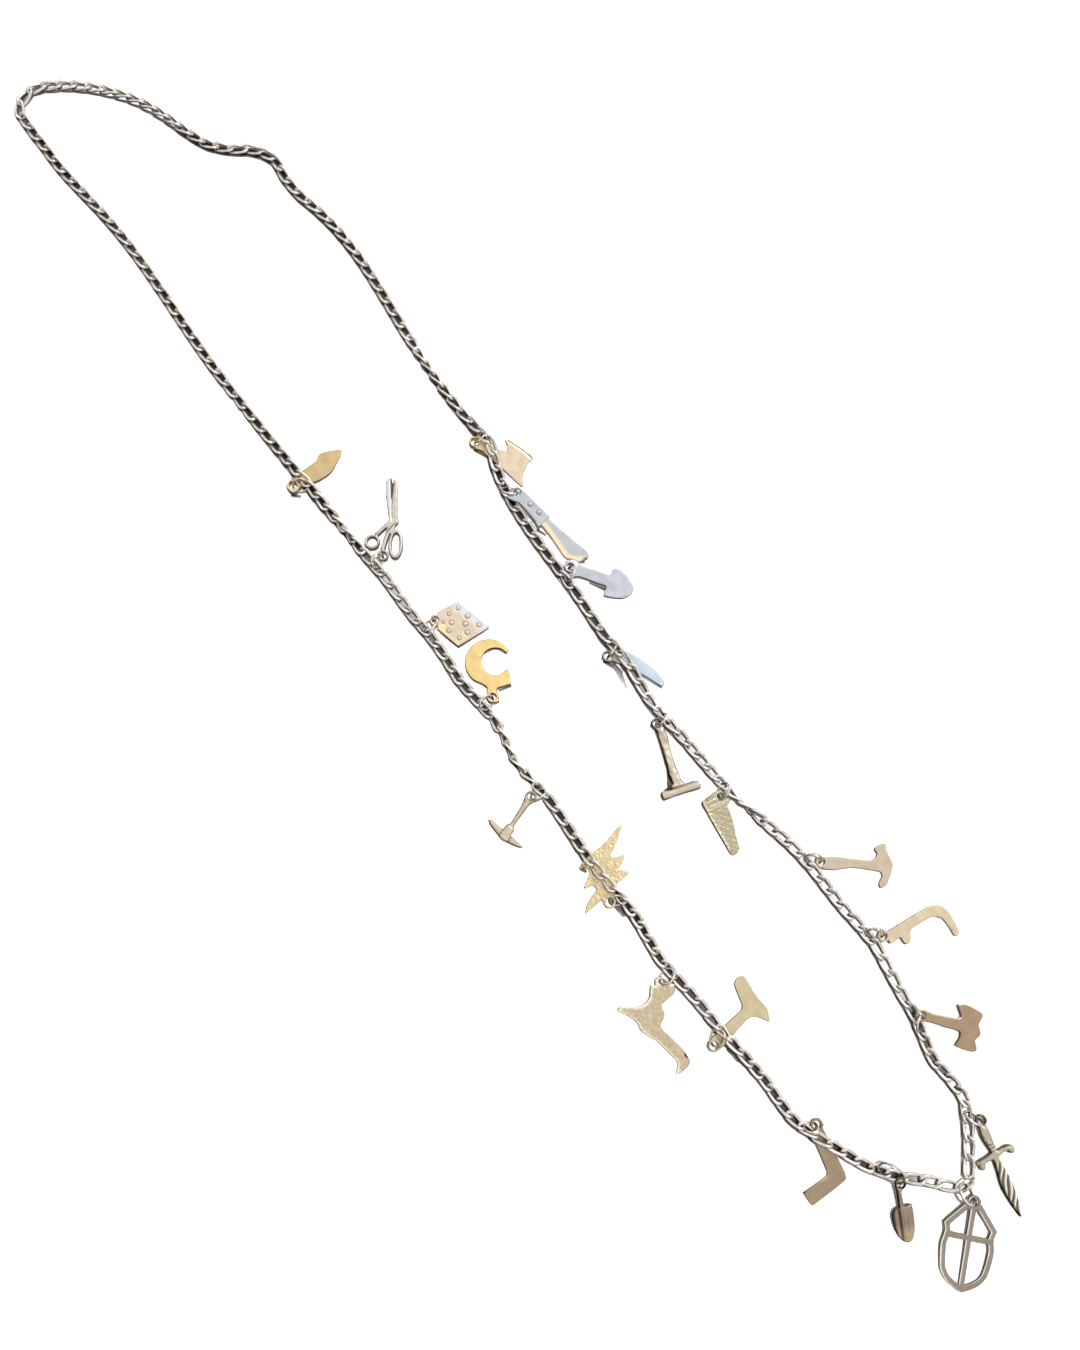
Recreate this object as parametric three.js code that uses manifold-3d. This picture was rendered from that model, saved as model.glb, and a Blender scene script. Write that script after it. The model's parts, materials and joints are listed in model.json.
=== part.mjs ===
// An endless silver chain with twenty-one miniature tools hung from it on jump rings, laid flat in a long loop.
// Millimetres, +Z up. +Y runs from the bottom of the loop to the neck, the table is z = 0.
import * as THREE from "three";
import { mergeVertices } from "three/addons/utils/BufferGeometryUtils.js";
import Module from "manifold-3d";

// ---- driving dimensions (mm) ----
const SHIFT_X = 8.195; // puts the origin under the middle of the outline
const SHIFT_Y = 0.345;
const CHAIN_FLATS = 2.1; // across the flats of a chain stretch: the height of the twisted links
const STRETCH_END = 1.25; // from a pivot to the end face of the stretch
const LOOP = { R: 0.74, wire: 0.25, reach: 0.33, buried: 0.5 }; // interlocking end loops of two stretches
const LINK = { R: 1.15, halfLength: 2.55, wire: 0.32, gap: 2.25 }; // open link that carries a jump ring
const RING_WIRE = 0.3; // radius of the jump ring wire
const STEP = 5; // chain tube, length of one step

// ---- finishes ----
const SILVER = [0xb9b4ae, 0.32, 1.0];
const RING_SILVER = [0xcfcac2, 0.25, 1.0];
const FINISH = {
  machete: [0xc9a878, 0.4, 1.0],
  scissors: [0xb9a78e, 0.35, 1.0],
  diamond_plate: [0xb7a293, 0.4, 1.0],
  crescent: [0xc79a55, 0.35, 1.0],
  pickaxe: [0xc8ab7c, 0.35, 1.0],
  burst_plate: [0xc0924f, 0.45, 1.0],
  notched_plate: [0xb59c80, 0.5, 1.0],
  adze: [0xb8a389, 0.4, 1.0],
  carpenters_square: [0x8f7d6c, 0.45, 1.0],
  shovel: [0x9c7d56, 0.4, 1.0],
  shield: [0x8f8378, 0.35, 1.0],
  dagger: [0xa09a8c, 0.35, 1.0],
  double_axe: [0xb39a78, 0.45, 1.0],
  sickle: [0xc8aa78, 0.35, 1.0],
  claw_hammer: [0xb5a184, 0.4, 1.0],
  hand_saw: [0xa89c84, 0.45, 1.0],
  sledge_hammer: [0xc2a373, 0.35, 1.0],
  knife: [0xa9adb3, 0.35, 1.0],
  spade: [0xa3a8b0, 0.35, 1.0],
  cleaver: [0xa8a9ac, 0.35, 1.0],
  axe: [0xc7a184, 0.4, 1.0],
};

// ---- centre line of the chain, from the apex of the neck down the left strand and back up the right one ----
// [x, y, z, mark]: a mark names a pivot between two stretches (L1.. left, R1.. right) or the charm that hangs there.
const ROUTE = [
  [-13.05, 208.68, 1.05, "apex"],
  [-14.45, 201.72, 1.05],
  [-14.89, 194.56, 1.05],
  [-15.46, 187.41, 1.05],
  [-15.45, 180.23, 1.05],
  [-15.16, 173.06, 1.05],
  [-14.9, 165.89, 1.05],
  [-14.95, 158.71, 1.05, "L9"],
  [-15.34, 151.27, 1.05],
  [-15.98, 143.85, 1.05],
  [-16.8, 136.44, 1.05],
  [-17.7, 129.05, 1.05],
  [-18.59, 121.65, 1.05],
  [-19.39, 114.24, 1.05],
  [-20.03, 106.82, 1.05, "L8"],
  [-20.46, 100.47, 1.05],
  [-20.8, 94.12, 1.05],
  [-21.06, 87.76, 1.05],
  [-21.28, 81.4, 1.05],
  [-21.46, 75.03, 2.08],
  [-21.7, 68.7, 3.17],
  [-21.7, 65.6, 3.16, "machete"],
  [-21.7, 62.5, 3.15],
  [-21.95, 56.89, 2.24],
  [-22.14, 51.3, 1.05, "L7"],
  [-22.32, 46.22, 1.05],
  [-22.44, 41.14, 1.05],
  [-22.4, 36.1, 1.27],
  [-22.4, 33.0, 1.28, "scissors"],
  [-22.4, 29.9, 1.29],
  [-22.67, 26.06, 1.19],
  [-23.03, 22.27, 1.06, "L6"],
  [-23.38, 18.48, 1.15],
  [-23.6, 14.7, 1.32],
  [-23.6, 11.6, 1.31, "diamond_plate"],
  [-23.6, 8.5, 1.31],
  [-24.31, 1.07, 1.06],
  [-25.43, -6.31, 1.05],
  [-25.4, -13.8, 1.29],
  [-25.4, -16.9, 1.28, "crescent"],
  [-25.4, -20.0, 1.28],
  [-26.52, -26.2, 1.13],
  [-28.28, -32.3, 1.05, "L5"],
  [-28.54, -36.37, 1.05],
  [-28.3, -40.5, 1.05],
  [-28.3, -43.6, 1.03, "pickaxe"],
  [-28.3, -46.7, 1.05],
  [-28.81, -52.12, 1.05],
  [-29.56, -57.55, 1.29],
  [-30.29, -62.99, 2.1, "L4"],
  [-30.8, -69.02, 2.73],
  [-31.0, -75.1, 3.09],
  [-31.0, -78.2, 3.1, "burst_plate"],
  [-31.0, -81.3, 3.1],
  [-31.49, -86.61, 1.82],
  [-32.53, -91.87, 1.06, "L3"],
  [-33.7, -98.5, 1.32],
  [-33.7, -101.6, 1.31, "notched_plate"],
  [-33.7, -104.7, 1.3],
  [-33.48, -109.85, 1.09],
  [-33.5, -114.96, 1.25],
  [-33.7, -120.24, 2.23],
  [-33.7, -123.2, 3.15, "adze"],
  [-33.7, -126.16, 4.07],
  [-33.61, -133.27, 2.84, "L2"],
  [-33.7, -139.64, 1.15],
  [-34.34, -145.99, 1.39],
  [-34.5, -152.41, 3.03],
  [-33.7, -155.4, 3.02, "carpenters_square"],
  [-32.9, -158.39, 3.01],
  [-31.61, -161.87, 2.86],
  [-30.43, -165.43, 2.39, "L1"],
  [-29.27, -169.0, 1.69],
  [-27.95, -172.52, 1.16],
  [-26.4, -175.2, 1.16, "shovel"],
  [-24.85, -177.88, 1.15],
  [-21.48, -182.04, 1.11],
  [-17.99, -186.08, 1.1],
  [-14.8, -190.37, 1.13],
  [-12.0, -192.1, 1.16, "shield"],
  [-9.61, -190.94, 1.12],
  [-7.64, -188.95, 1.12],
  [-4.23, -185.52, 1.16],
  [-1.08, -181.84, 1.32],
  [0.7, -179.3, 1.3, "dagger"],
  [2.48, -176.76, 1.27],
  [3.25, -169.91, 1.09, "R1"],
  [3.32, -164.43, 1.05],
  [5.04, -159.21, 1.18],
  [6.1, -156.3, 1.15, "double_axe"],
  [7.16, -153.39, 1.12],
  [8.06, -149.28, 1.07],
  [8.93, -145.15, 1.05, "R2"],
  [10.51, -138.82, 1.05],
  [11.99, -132.5, 1.24],
  [12.1, -129.4, 1.25, "sickle"],
  [12.21, -126.3, 1.25],
  [12.19, -119.91, 1.05],
  [12.56, -113.58, 1.05],
  [13.0, -107.2, 1.24],
  [13.0, -104.1, 1.26, "claw_hammer"],
  [13.0, -101.0, 1.28],
  [12.45, -95.19, 1.05],
  [11.6, -89.37, 1.05, "R3"],
  [10.71, -83.55, 1.05],
  [10.0, -77.7, 1.3],
  [10.0, -74.6, 1.31, "hand_saw"],
  [10.0, -71.5, 1.32],
  [10.13, -65.29, 1.05],
  [10.3, -59.08, 1.05],
  [10.1, -52.9, 1.43],
  [10.1, -49.8, 1.42, "sledge_hammer"],
  [10.1, -46.7, 1.41],
  [10.59, -42.6, 1.21],
  [11.38, -38.57, 1.82, "R4"],
  [12.17, -34.54, 2.53],
  [12.7, -30.5, 2.62],
  [12.7, -27.4, 2.63, "knife"],
  [12.7, -24.3, 2.64],
  [13.39, -18.56, 1.33],
  [14.27, -12.87, 1.05],
  [14.93, -7.19, 1.37],
  [15.2, -4.1, 1.36, "spade"],
  [15.47, -1.01, 1.36],
  [16.04, 5.3, 1.14],
  [16.67, 11.56, 1.05, "R5"],
  [17.53, 17.8, 1.05],
  [18.7, 24.01, 1.15],
  [19.5, 27.0, 1.15, "cleaver"],
  [20.3, 29.99, 1.15],
  [22.24, 34.64, 3.03],
  [24.49, 39.18, 3.82],
  [24.6, 42.2, 3.15, "axe"],
  [24.71, 45.22, 2.47],
  [24.74, 49.23, 1.5],
  [24.88, 53.11, 1.07, "R6"],
  [25.32, 59.86, 1.05],
  [25.98, 66.59, 1.05],
  [26.88, 73.29, 1.05],
  [28.0, 79.95, 1.05],
  [29.25, 86.6, 1.05],
  [30.52, 93.24, 1.05],
  [31.69, 99.89, 1.05],
  [32.63, 106.59, 1.05],
  [33.23, 113.32, 1.05, "R7"],
  [33.35, 120.08, 1.05],
  [32.86, 126.82, 1.05],
  [32.01, 133.52, 1.05],
  [32.25, 140.26, 1.05],
  [33.31, 146.92, 1.05],
  [30.67, 153.01, 1.05],
  [25.89, 157.79, 1.05],
  [21.93, 163.21, 1.05],
  [19.78, 169.61, 1.05, "R8"],
  [18.26, 176.74, 1.05],
  [16.33, 183.78, 1.05],
  [13.42, 190.47, 1.05],
  [9.6, 196.69, 1.05],
  [5.05, 202.39, 1.05],
  [-0.31, 207.33, 1.05],
  [-6.72, 210.77, 1.05],
];

// ---- charms: open link, jump ring and plate of each ----
// link: side = direction from the link's centre to its side wire. ring: R, centre, two in-plane directions.
// plate: at = centre of the hole, dir = where the handle points, slope = fall towards the tip (degrees), t = thickness,
// outline and holes in mm from the hole, x along the handle.
const CHARMS = {
  machete: {
    link: { along: [0.0, 1.0, 0.002], side: [-0.8051, 0.0012, -0.5932], z: 3.16 },
    ring: { R: 2.078, centre: [-23.435, 64.962, 1.837], u: [-0.9014, 0.1591, -0.4026], w: [-0.0953, 0.8343, 0.543] },
    plate: { at: [-25.102, 66.2, 1.769], dir: [0.9998, -0.02, 0.0], slope: 4.575, t: 0.7, hole: 1.05,
      outline: [[11.53,-3.18],[16.1,-1.13],[17.24,-0.15],[15.85,0.95],[12.47,2.63],[11.42,2.74],[10.38,2.3],[9.77,1.74],[5.16,1.8],[1.6,1.75],[0.2,1.7],[-1.4,1.35],[-1.75,0.6],[-1.8,-1.0],[-1.4,-2.0],[-0.3,-2.2],[1.68,-1.75],[6.52,-3.19],[9.88,-3.54]] },
  },
  scissors: {
    link: { along: [0.0, 1.0, -0.002], side: [0.9995, 0.0001, 0.032], z: 1.279 },
    ring: { R: 2.142, centre: [-20.936, 34.104, 2.215], u: [0.9345, 0.3471, 0.0796], w: [-0.2554, 0.4976, 0.829] },
    plate: { at: [-18.898, 34.301, 1.585], dir: [0.6, 0.8, 0.0], slope: 2.897, t: 0.8, hole: 0.95,
      outline: [[-0.12,-4.92],[1.23,-5.5],[2.85,-5.81],[4.5,-5.8],[5.93,-5.47],[6.92,-4.88],[7.32,-4.11],[7.19,-3.68],[8.4,-3.85],[8.88,-4.58],[9.6,-4.88],[10.57,-4.72],[15.0,-4.95],[20.5,-5.05],[21.9,-4.75],[22.2,-4.1],[20.6,-3.72],[22.6,-3.5],[22.75,-2.8],[21.6,-1.9],[18.0,-1.65],[14.0,-1.9],[10.49,-2.11],[9.99,-1.92],[6.56,2.09],[6.03,1.63],[6.38,2.88],[6.17,3.71],[5.65,4.4],[4.91,4.84],[4.06,4.96],[3.23,4.74],[2.54,4.23],[2.11,3.49],[1.98,2.64],[2.2,1.81],[2.71,1.12],[3.45,0.69],[4.3,0.56],[5.14,0.78],[5.73,1.22],[8.02,-1.55],[1.8,0.67],[1.63,0.19],[1.1,1.23],[-0.09,1.65],[-1.23,1.1],[-1.65,-0.09],[-1.1,-1.23],[0.09,-1.65],[0.71,-1.49],[1.52,-0.61],[6.11,-2.25],[6.08,-2.47],[4.86,-1.94],[3.24,-1.63],[1.58,-1.64],[0.15,-1.96],[-0.84,-2.55],[-1.24,-3.32],[-0.99,-4.15]],
      holes: [[[2.9,2.94],[3.16,3.56],[3.7,3.97],[4.37,4.05],[4.99,3.78],[5.39,3.25],[5.47,2.58],[5.21,1.96],[4.67,1.55],[4.0,1.47],[3.38,1.74],[2.98,2.28]],[[-0.14,-3.42],[0.33,-2.94],[1.53,-2.67],[3.14,-2.68],[4.72,-2.96],[5.85,-3.45],[6.23,-4.01],[5.75,-4.5],[4.55,-4.77],[2.95,-4.76],[1.37,-4.48],[0.24,-3.99]]] },
  },
  diamond_plate: {
    link: { along: [0.0, 1.0, 0.002], side: [1.0, 0.0, 0.0], z: 1.315 },
    ring: { R: 2.233, centre: [-21.885, 10.692, 2.127], u: [0.9758, -0.2002, 0.0879], w: [-0.1963, -0.6257, 0.7549] },
    plate: { at: [-19.7, 10.8, 1.679], dir: [0.7557, -0.6549, 0.0], slope: 4.786, t: 0.8, hole: 0.95,
      outline: [[14.8,-1.47],[14.67,-1.07],[6.67,5.37],[6.25,5.33],[0.6,2.19],[0.6,1.51],[-0.21,1.64],[-1.31,1.01],[-1.64,-0.21],[-1.02,-1.3],[-0.44,-1.59],[0.6,-1.51],[0.6,-2.5],[6.21,-7.22],[6.62,-7.19],[14.44,-2.18]] },
  },
  crescent: {
    link: { along: [0.0, 1.0, 0.001], side: [0.9993, 0.0, 0.038], z: 1.283 },
    ring: { R: 2.202, centre: [-23.872, -15.947, 2.083], u: [0.9596, 0.2594, 0.1088], w: [-0.2526, 0.6247, 0.7389] },
    plate: { at: [-21.699, -15.9, 1.731], dir: [0.7071, 0.7071, 0.0], slope: 4.535, t: 0.8, hole: 0.95,
      outline: [[0.92,-1.37],[1.78,-0.8],[2.73,-1.34],[4.0,-4.78],[8.14,-3.9],[8.23,-3.22],[6.37,-1.24],[6.21,0.09],[6.47,1.37],[8.41,3.55],[9.75,3.9],[11.13,3.76],[12.37,3.14],[13.31,2.13],[13.82,0.84],[13.85,-0.54],[13.38,-1.84],[12.48,-2.89],[13.68,-3.28],[14.77,-2.25],[15.59,-1.0],[16.1,0.4],[16.28,1.89],[16.11,3.37],[15.61,4.78],[14.8,6.04],[13.72,7.07],[12.43,7.84],[11.0,8.29],[9.51,8.4],[8.03,8.18],[6.64,7.62],[5.41,6.76],[4.45,5.67],[3.26,2.73],[2.52,1.7],[-0.32,1.62],[-1.38,0.92],[-1.62,0.32],[-1.55,-1.18],[-0.88,-1.98]] },
  },
  pickaxe: {
    link: { along: [0.0, 1.0, -0.001], side: [-0.8653, 0.0005, 0.5012], z: 1.028 },
    ring: { R: 2.12, centre: [-29.607, -44.078, 2.283], u: [-0.9798, 0.1264, 0.1546], w: [0.0595, -0.5542, 0.8303] },
    plate: { at: [-31.401, -43.2, 1.572], dir: [-0.96, -0.28, 0.0], slope: 4.65, t: 0.8, hole: 0.95,
      outline: [[12.0,2.6],[11.85,1.05],[10.22,1.15],[9.6,0.75],[8.5,0.5],[5.0,0.65],[2.4,0.9],[1.5,1.1],[0.9,1.45],[0.14,1.64],[-1.06,1.26],[-1.65,0.14],[-1.27,-1.06],[-0.14,-1.64],[1.1,-1.4],[2.6,-1.0],[5.0,-0.85],[8.5,-0.75],[9.4,-0.9],[9.5,-1.45],[11.5,-1.65],[11.4,-3.2],[11.0,-5.6],[11.5,-6.5],[12.5,-5.0],[13.5,-2.2],[14.0,-0.5],[13.9,1.0],[13.6,3.5],[12.9,5.75],[12.5,5.0]] },
  },
  burst_plate: {
    link: { along: [0.0, 1.0, -0.002], side: [-0.7221, -0.0014, -0.6918], z: 3.095 },
    ring: { R: 1.85, centre: [-32.286, -79.015, 1.77], u: [-0.8358, 0.0, -0.5491], w: [-0.31, 0.8253, 0.4719] },
    plate: { at: [-33.9, -78.2, 1.377], dir: [0.1961, 0.9806, 0.0], slope: 3.491, t: 0.7, hole: 1.05,
      outline: [[-0.67,-1.62],[0.6,-1.63],[0.6,-1.94],[2.48,-1.65],[3.18,-4.16],[3.99,-8.69],[5.48,-7.47],[6.46,-6.26],[7.54,-8.59],[8.92,-9.85],[9.45,-7.39],[10.59,-6.45],[12.59,-9.32],[16.14,-13.25],[16.06,-11.58],[14.52,-7.2],[12.97,0.55],[12.16,2.53],[11.47,2.39],[10.63,0.49],[9.12,0.9],[6.48,4.35],[6.03,1.51],[4.56,1.22],[2.79,4.94],[0.6,7.32],[0.6,5.97],[1.61,1.65],[0.81,1.53],[-0.0,1.75],[-1.24,1.24],[-1.75,-0.0],[-1.62,-0.67]] },
  },
  notched_plate: {
    link: { along: [0.0, 1.0, 0.003], side: [-1.0, 0.0, 0.003], z: 1.312 },
    ring: { R: 2.209, centre: [-35.311, -102.55, 2.08], u: [-0.9533, -0.276, 0.1225], w: [0.2738, -0.6187, 0.7364] },
    plate: { at: [-37.5, -102.7, 1.826], dir: [-0.6, -0.8, 0.0], slope: 3.32, t: 0.8, hole: 0.95,
      outline: [[21.51,5.75],[20.52,6.04],[17.04,4.06],[12.13,-0.51],[11.0,-1.09],[8.66,0.29],[7.45,0.17],[6.49,-0.29],[5.55,-0.22],[3.61,2.49],[2.63,3.32],[1.52,3.54],[0.6,3.29],[0.6,1.53],[-0.09,1.65],[-1.23,1.1],[-1.65,-0.09],[-1.1,-1.23],[-0.55,-1.56],[0.6,-1.52],[0.6,-2.83],[3.53,-3.3],[4.87,-4.38],[5.58,-5.67],[5.78,-7.33],[5.28,-10.83],[5.66,-11.49],[6.32,-11.88],[6.83,-11.5],[7.66,-9.84],[8.95,-8.08],[10.17,-6.91],[11.83,-6.36],[14.05,-3.75],[15.0,-2.25],[20.52,2.55],[21.98,2.71],[23.23,2.08],[23.83,2.12],[23.87,2.82],[22.81,4.37]] },
  },
  adze: {
    link: { along: [0.0, 0.9553, -0.2955], side: [-0.7478, 0.1962, 0.6342], z: 3.15 },
    ring: { R: 2.276, centre: [-35.7, -122.982, 1.957], u: [-0.9212, -0.1535, -0.3575], w: [-0.098, -0.7976, 0.5952] },
    plate: { at: [-37.763, -123.877, 1.603], dir: [1.0, 0.0, 0.0], slope: 3.823, t: 0.7, hole: 1.05,
      outline: [[16.97,-2.5],[17.18,-1.04],[17.09,1.05],[17.3,3.55],[18.13,7.3],[18.01,8.13],[16.97,8.63],[15.51,8.63],[14.47,7.92],[12.58,2.63],[11.54,1.88],[0.6,1.88],[0.6,1.61],[-0.34,1.72],[-1.46,0.97],[-1.72,-0.34],[-0.97,-1.46],[-0.34,-1.72],[3.19,-1.66],[10.29,-0.95],[12.17,-1.04],[13.41,-2.08],[14.25,-3.33],[14.8,-4.79],[15.3,-5.29]] },
  },
  carpenters_square: {
    link: { along: [0.2588, -0.9659, -0.003], side: [0.7697, 0.2081, -0.6036], z: 3.024 },
    ring: { R: 1.856, centre: [-32.504, -155.469, 1.928], u: [0.8527, -0.2436, -0.4621], w: [0.146, -0.7382, 0.6586] },
    plate: { at: [-30.9, -156.2, 1.347], dir: [-0.2873, -0.9578, 0.0], slope: 3.07, t: 0.7, hole: 1.05,
      outline: [[14.96,1.29],[13.38,1.47],[1.34,1.07],[0.51,1.67],[-0.82,1.55],[-1.35,1.11],[-1.74,-0.17],[-1.55,-0.82],[-0.51,-1.67],[0.6,-1.61],[0.6,-2.32],[11.8,-2.71],[12.5,-3.15],[12.81,-3.92],[13.88,-10.65],[17.48,-10.01],[17.8,-9.61],[15.59,0.61]] },
  },
  shovel: {
    link: { along: [0.5, -0.866, -0.001], side: [-0.8629, -0.4983, 0.0839], z: 1.155 },
    ring: { R: 3.494, centre: [-24.664, -177.045, 3.236], u: [0.3108, -0.9152, 0.2566], w: [0.5184, 0.3895, 0.7613] },
    plate: { at: [-24.6, -180.5, 2.72], dir: [-0.507, -0.8619, 0.0], slope: 8.683, t: 0.8, hole: 0.95,
      outline: [[13.65,1.0],[11.52,1.65],[8.64,1.95],[6.04,1.95],[5.55,1.75],[5.6,-0.1],[2.0,-0.15],[1.5,0.5],[0.73,1.49],[-0.55,1.56],[-1.11,1.23],[-1.67,0.09],[-1.58,-0.54],[-0.73,-1.49],[0.55,-1.56],[1.5,-1.45],[5.8,-1.6],[6.1,-2.6],[7.12,-3.5],[8.5,-3.75],[11.0,-3.6],[13.34,-2.85],[14.77,-1.8],[15.18,-0.7],[14.75,0.2]] },
  },
  shield: {
    link: { along: [0.9961, -0.0872, 0.011], side: [-0.0861, -0.9431, 0.3212], z: 1.158 },
    ring: { R: 2.7, centre: [-13.417, -193.77, 2.629], u: [-0.274, -0.9425, 0.1914], w: [-0.5837, 0.3211, 0.7458], wire: 0.42 },
    plate: { at: [-13.25, -196.401, 2.047], dir: [-0.7877, -0.616, 0.0], slope: 4.15, t: 0.7, hole: 1.05,
      outline: [[17.44,6.2],[11.83,6.9],[8.42,6.4],[6.22,6.9],[0.5,2.0],[0.5,1.64],[-0.47,1.69],[-1.53,0.86],[-1.69,-0.47],[-0.87,-1.52],[-0.22,-1.74],[0.5,-1.67],[0.5,-2.0],[6.22,-6.9],[8.42,-6.4],[11.83,-6.9],[17.44,-6.2],[19.45,-5.2],[20.95,-3.7],[22.26,-1.5],[22.86,-0.0],[22.26,1.5],[20.95,3.7],[19.45,5.2]],
      holes: [[[8.47,-4.89],[6.62,-5.27],[2.0,-1.31],[2.0,-0.75],[8.47,-0.75]],[[8.47,0.75],[2.0,0.75],[2.0,1.31],[6.62,5.27],[8.47,4.89]],[[19.76,-2.77],[18.56,-3.97],[17.01,-4.74],[11.84,-5.39],[9.88,-5.1],[9.88,-0.75],[20.94,-0.75]],[[19.76,2.77],[20.94,0.75],[9.88,0.75],[9.88,5.1],[11.84,5.39],[17.01,4.74],[18.56,3.97]]] },
  },
  dagger: {
    link: { along: [0.5736, 0.8191, -0.008], side: [0.8186, -0.5728, 0.042], z: 1.298 },
    ring: { R: 2.367, centre: [0.815, -181.285, 2.566], u: [0.3227, -0.9432, 0.0789], w: [-0.4327, -0.0728, 0.8986] },
    plate: { at: [2.0, -183.101, 1.617], dir: [-0.3312, -0.9435, 0.0], slope: 2.595, t: 0.8, hole: 0.95,
      outline: [[25.6,0.3],[23.4,0.8],[20.0,1.2],[16.6,1.35],[13.15,0.95],[11.0,0.65],[10.0,0.75],[9.6,1.9],[9.35,3.2],[10.2,3.6],[10.55,4.3],[10.2,5.0],[9.5,5.25],[8.8,5.1],[8.3,4.6],[8.05,3.6],[8.2,2.0],[8.35,1.1],[7.7,0.85],[3.24,1.0],[1.5,0.75],[0.99,1.32],[0.41,1.6],[-0.84,1.42],[-1.6,0.41],[-1.42,-0.84],[-0.41,-1.6],[0.84,-1.42],[1.9,-1.45],[3.5,-1.7],[5.59,-1.5],[8.3,-0.95],[8.75,-2.8],[8.95,-4.4],[9.3,-5.1],[10.2,-5.3],[11.2,-5.2],[11.75,-4.6],[11.6,-3.9],[11.0,-3.55],[10.25,-3.2],[10.1,-1.3],[11.0,-1.25],[13.5,-1.5],[17.0,-1.95],[20.5,-1.6],[23.5,-1.0],[25.7,-0.4],[25.95,0.0]] },
  },
  double_axe: {
    link: { along: [0.342, 0.9396, -0.011], side: [0.9371, -0.3401, 0.0789], z: 1.15 },
    ring: { R: 2.161, centre: [6.916, -154.995, 2.238], u: [0.6183, 0.6956, 0.3657], w: [-0.647, 0.1864, 0.7394] },
    plate: { at: [8.5, -153.6, 2.7], dir: [0.4907, -0.8713, 0.0], slope: 7.888, t: 0.7, hole: 1.05,
      outline: [[16.89,-3.2],[15.76,-1.38],[16.69,0.25],[16.63,1.01],[15.42,2.87],[16.0,5.42],[15.37,6.01],[11.82,6.56],[9.26,6.31],[8.48,5.79],[10.36,3.31],[9.83,2.64],[2.72,1.59],[-0.13,1.74],[-1.34,1.14],[-1.68,0.54],[-1.58,-0.79],[-1.15,-1.33],[0.13,-1.74],[1.35,-1.12],[5.06,-0.66],[7.69,-0.71],[10.25,-0.46],[11.33,-0.67],[11.59,-1.92],[10.9,-4.41],[15.69,-4.45],[16.87,-3.91]] },
  },
  sickle: {
    link: { along: [0.0349, 0.9994, 0.001], side: [0.9994, -0.0349, -0.003], z: 1.247 },
    ring: { R: 2.246, centre: [13.99, -130.419, 2.212], u: [0.7147, -0.6909, 0.1085], w: [0.3644, 0.5003, 0.7854] },
    plate: { at: [15.1, -132.3, 1.689], dir: [0.9701, -0.2425, 0.0], slope: 3.755, t: 0.8, hole: 0.95,
      outline: [[18.91,-7.68],[18.89,-2.97],[18.49,-1.35],[17.6,0.14],[15.87,1.0],[13.89,1.16],[1.54,0.52],[1.11,1.22],[0.56,1.55],[-0.71,1.49],[-1.56,0.56],[-1.5,-0.7],[-0.56,-1.55],[0.6,-1.52],[0.6,-2.5],[1.34,-2.84],[3.16,-2.39],[3.94,-2.4],[4.05,-3.88],[4.53,-4.75],[5.47,-4.73],[6.3,-3.75],[6.85,-2.54],[7.77,-1.87],[12.43,-1.57],[14.4,-1.73],[15.67,-2.48],[16.46,-3.57],[16.88,-5.61],[16.99,-8.6],[17.53,-9.02],[18.36,-8.9]] },
  },
  claw_hammer: {
    link: { along: [0.0, 1.0, 0.006], side: [1.0, 0.0, 0.002], z: 1.26 },
    ring: { R: 2.168, centre: [14.85, -105.337, 2.109], u: [0.6781, -0.7249, 0.1214], w: [0.4032, 0.505, 0.7631] },
    plate: { at: [15.899, -107.199, 1.75], dir: [0.7071, -0.7071, 0.0], slope: 3.857, t: 0.8, hole: 0.95,
      outline: [[19.28,-0.82],[19.42,0.81],[17.56,4.54],[17.41,5.87],[16.97,6.31],[15.64,5.75],[14.37,4.78],[14.31,4.25],[15.08,3.25],[14.84,2.42],[13.86,1.63],[12.33,1.39],[3.18,1.68],[0.86,1.4],[-0.32,1.62],[-1.38,0.92],[-1.62,-0.32],[-0.92,-1.37],[-0.32,-1.62],[0.6,-1.5],[0.6,-1.85],[3.77,-1.85],[8.79,-0.96],[15.43,-1.41],[16.32,-1.7],[16.61,-2.59],[15.73,-4.65],[16.11,-5.73],[16.61,-5.83],[17.95,-5.09]] },
  },
  hand_saw: {
    link: { along: [0.0, 1.0, 0.002], side: [-0.8419, -0.0011, 0.5396], z: 1.309 },
    ring: { R: 2.14, centre: [8.942, -75.894, 2.218], u: [-0.843, -0.5339, 0.0651], w: [0.3437, -0.4416, 0.8287] },
    plate: { at: [6.998, -76.501, 1.559], dir: [-0.4061, -0.9138, 0.0], slope: 3.957, t: 0.8, hole: 0.95,
      outline: [[14.9,0.95],[11.0,1.15],[6.24,1.5],[3.8,1.3],[2.6,1.35],[2.2,2.3],[0.75,2.3],[0.6,1.52],[-0.36,1.61],[-1.2,1.2],[-1.65,0.3],[-1.65,-0.6],[-1.3,-1.7],[-0.1,-4.9],[0.6,-5.1],[3.44,-4.5],[14.76,-2.1],[15.91,-1.66],[16.15,-0.86],[15.7,0.3]] },
  },
  sledge_hammer: {
    link: { along: [0.0, 1.0, -0.003], side: [-0.5529, 0.0025, 0.8333], z: 1.418 },
    ring: { R: 1.85, centre: [9.12, -50.532, 2.426], u: [-0.9535, -0.2825, 0.105], w: [0.2172, -0.4022, 0.8894] },
    plate: { at: [7.399, -50.6, 1.752], dir: [-0.4472, -0.8944, 0.0], slope: 2.065, t: 0.8, hole: 0.95,
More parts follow.
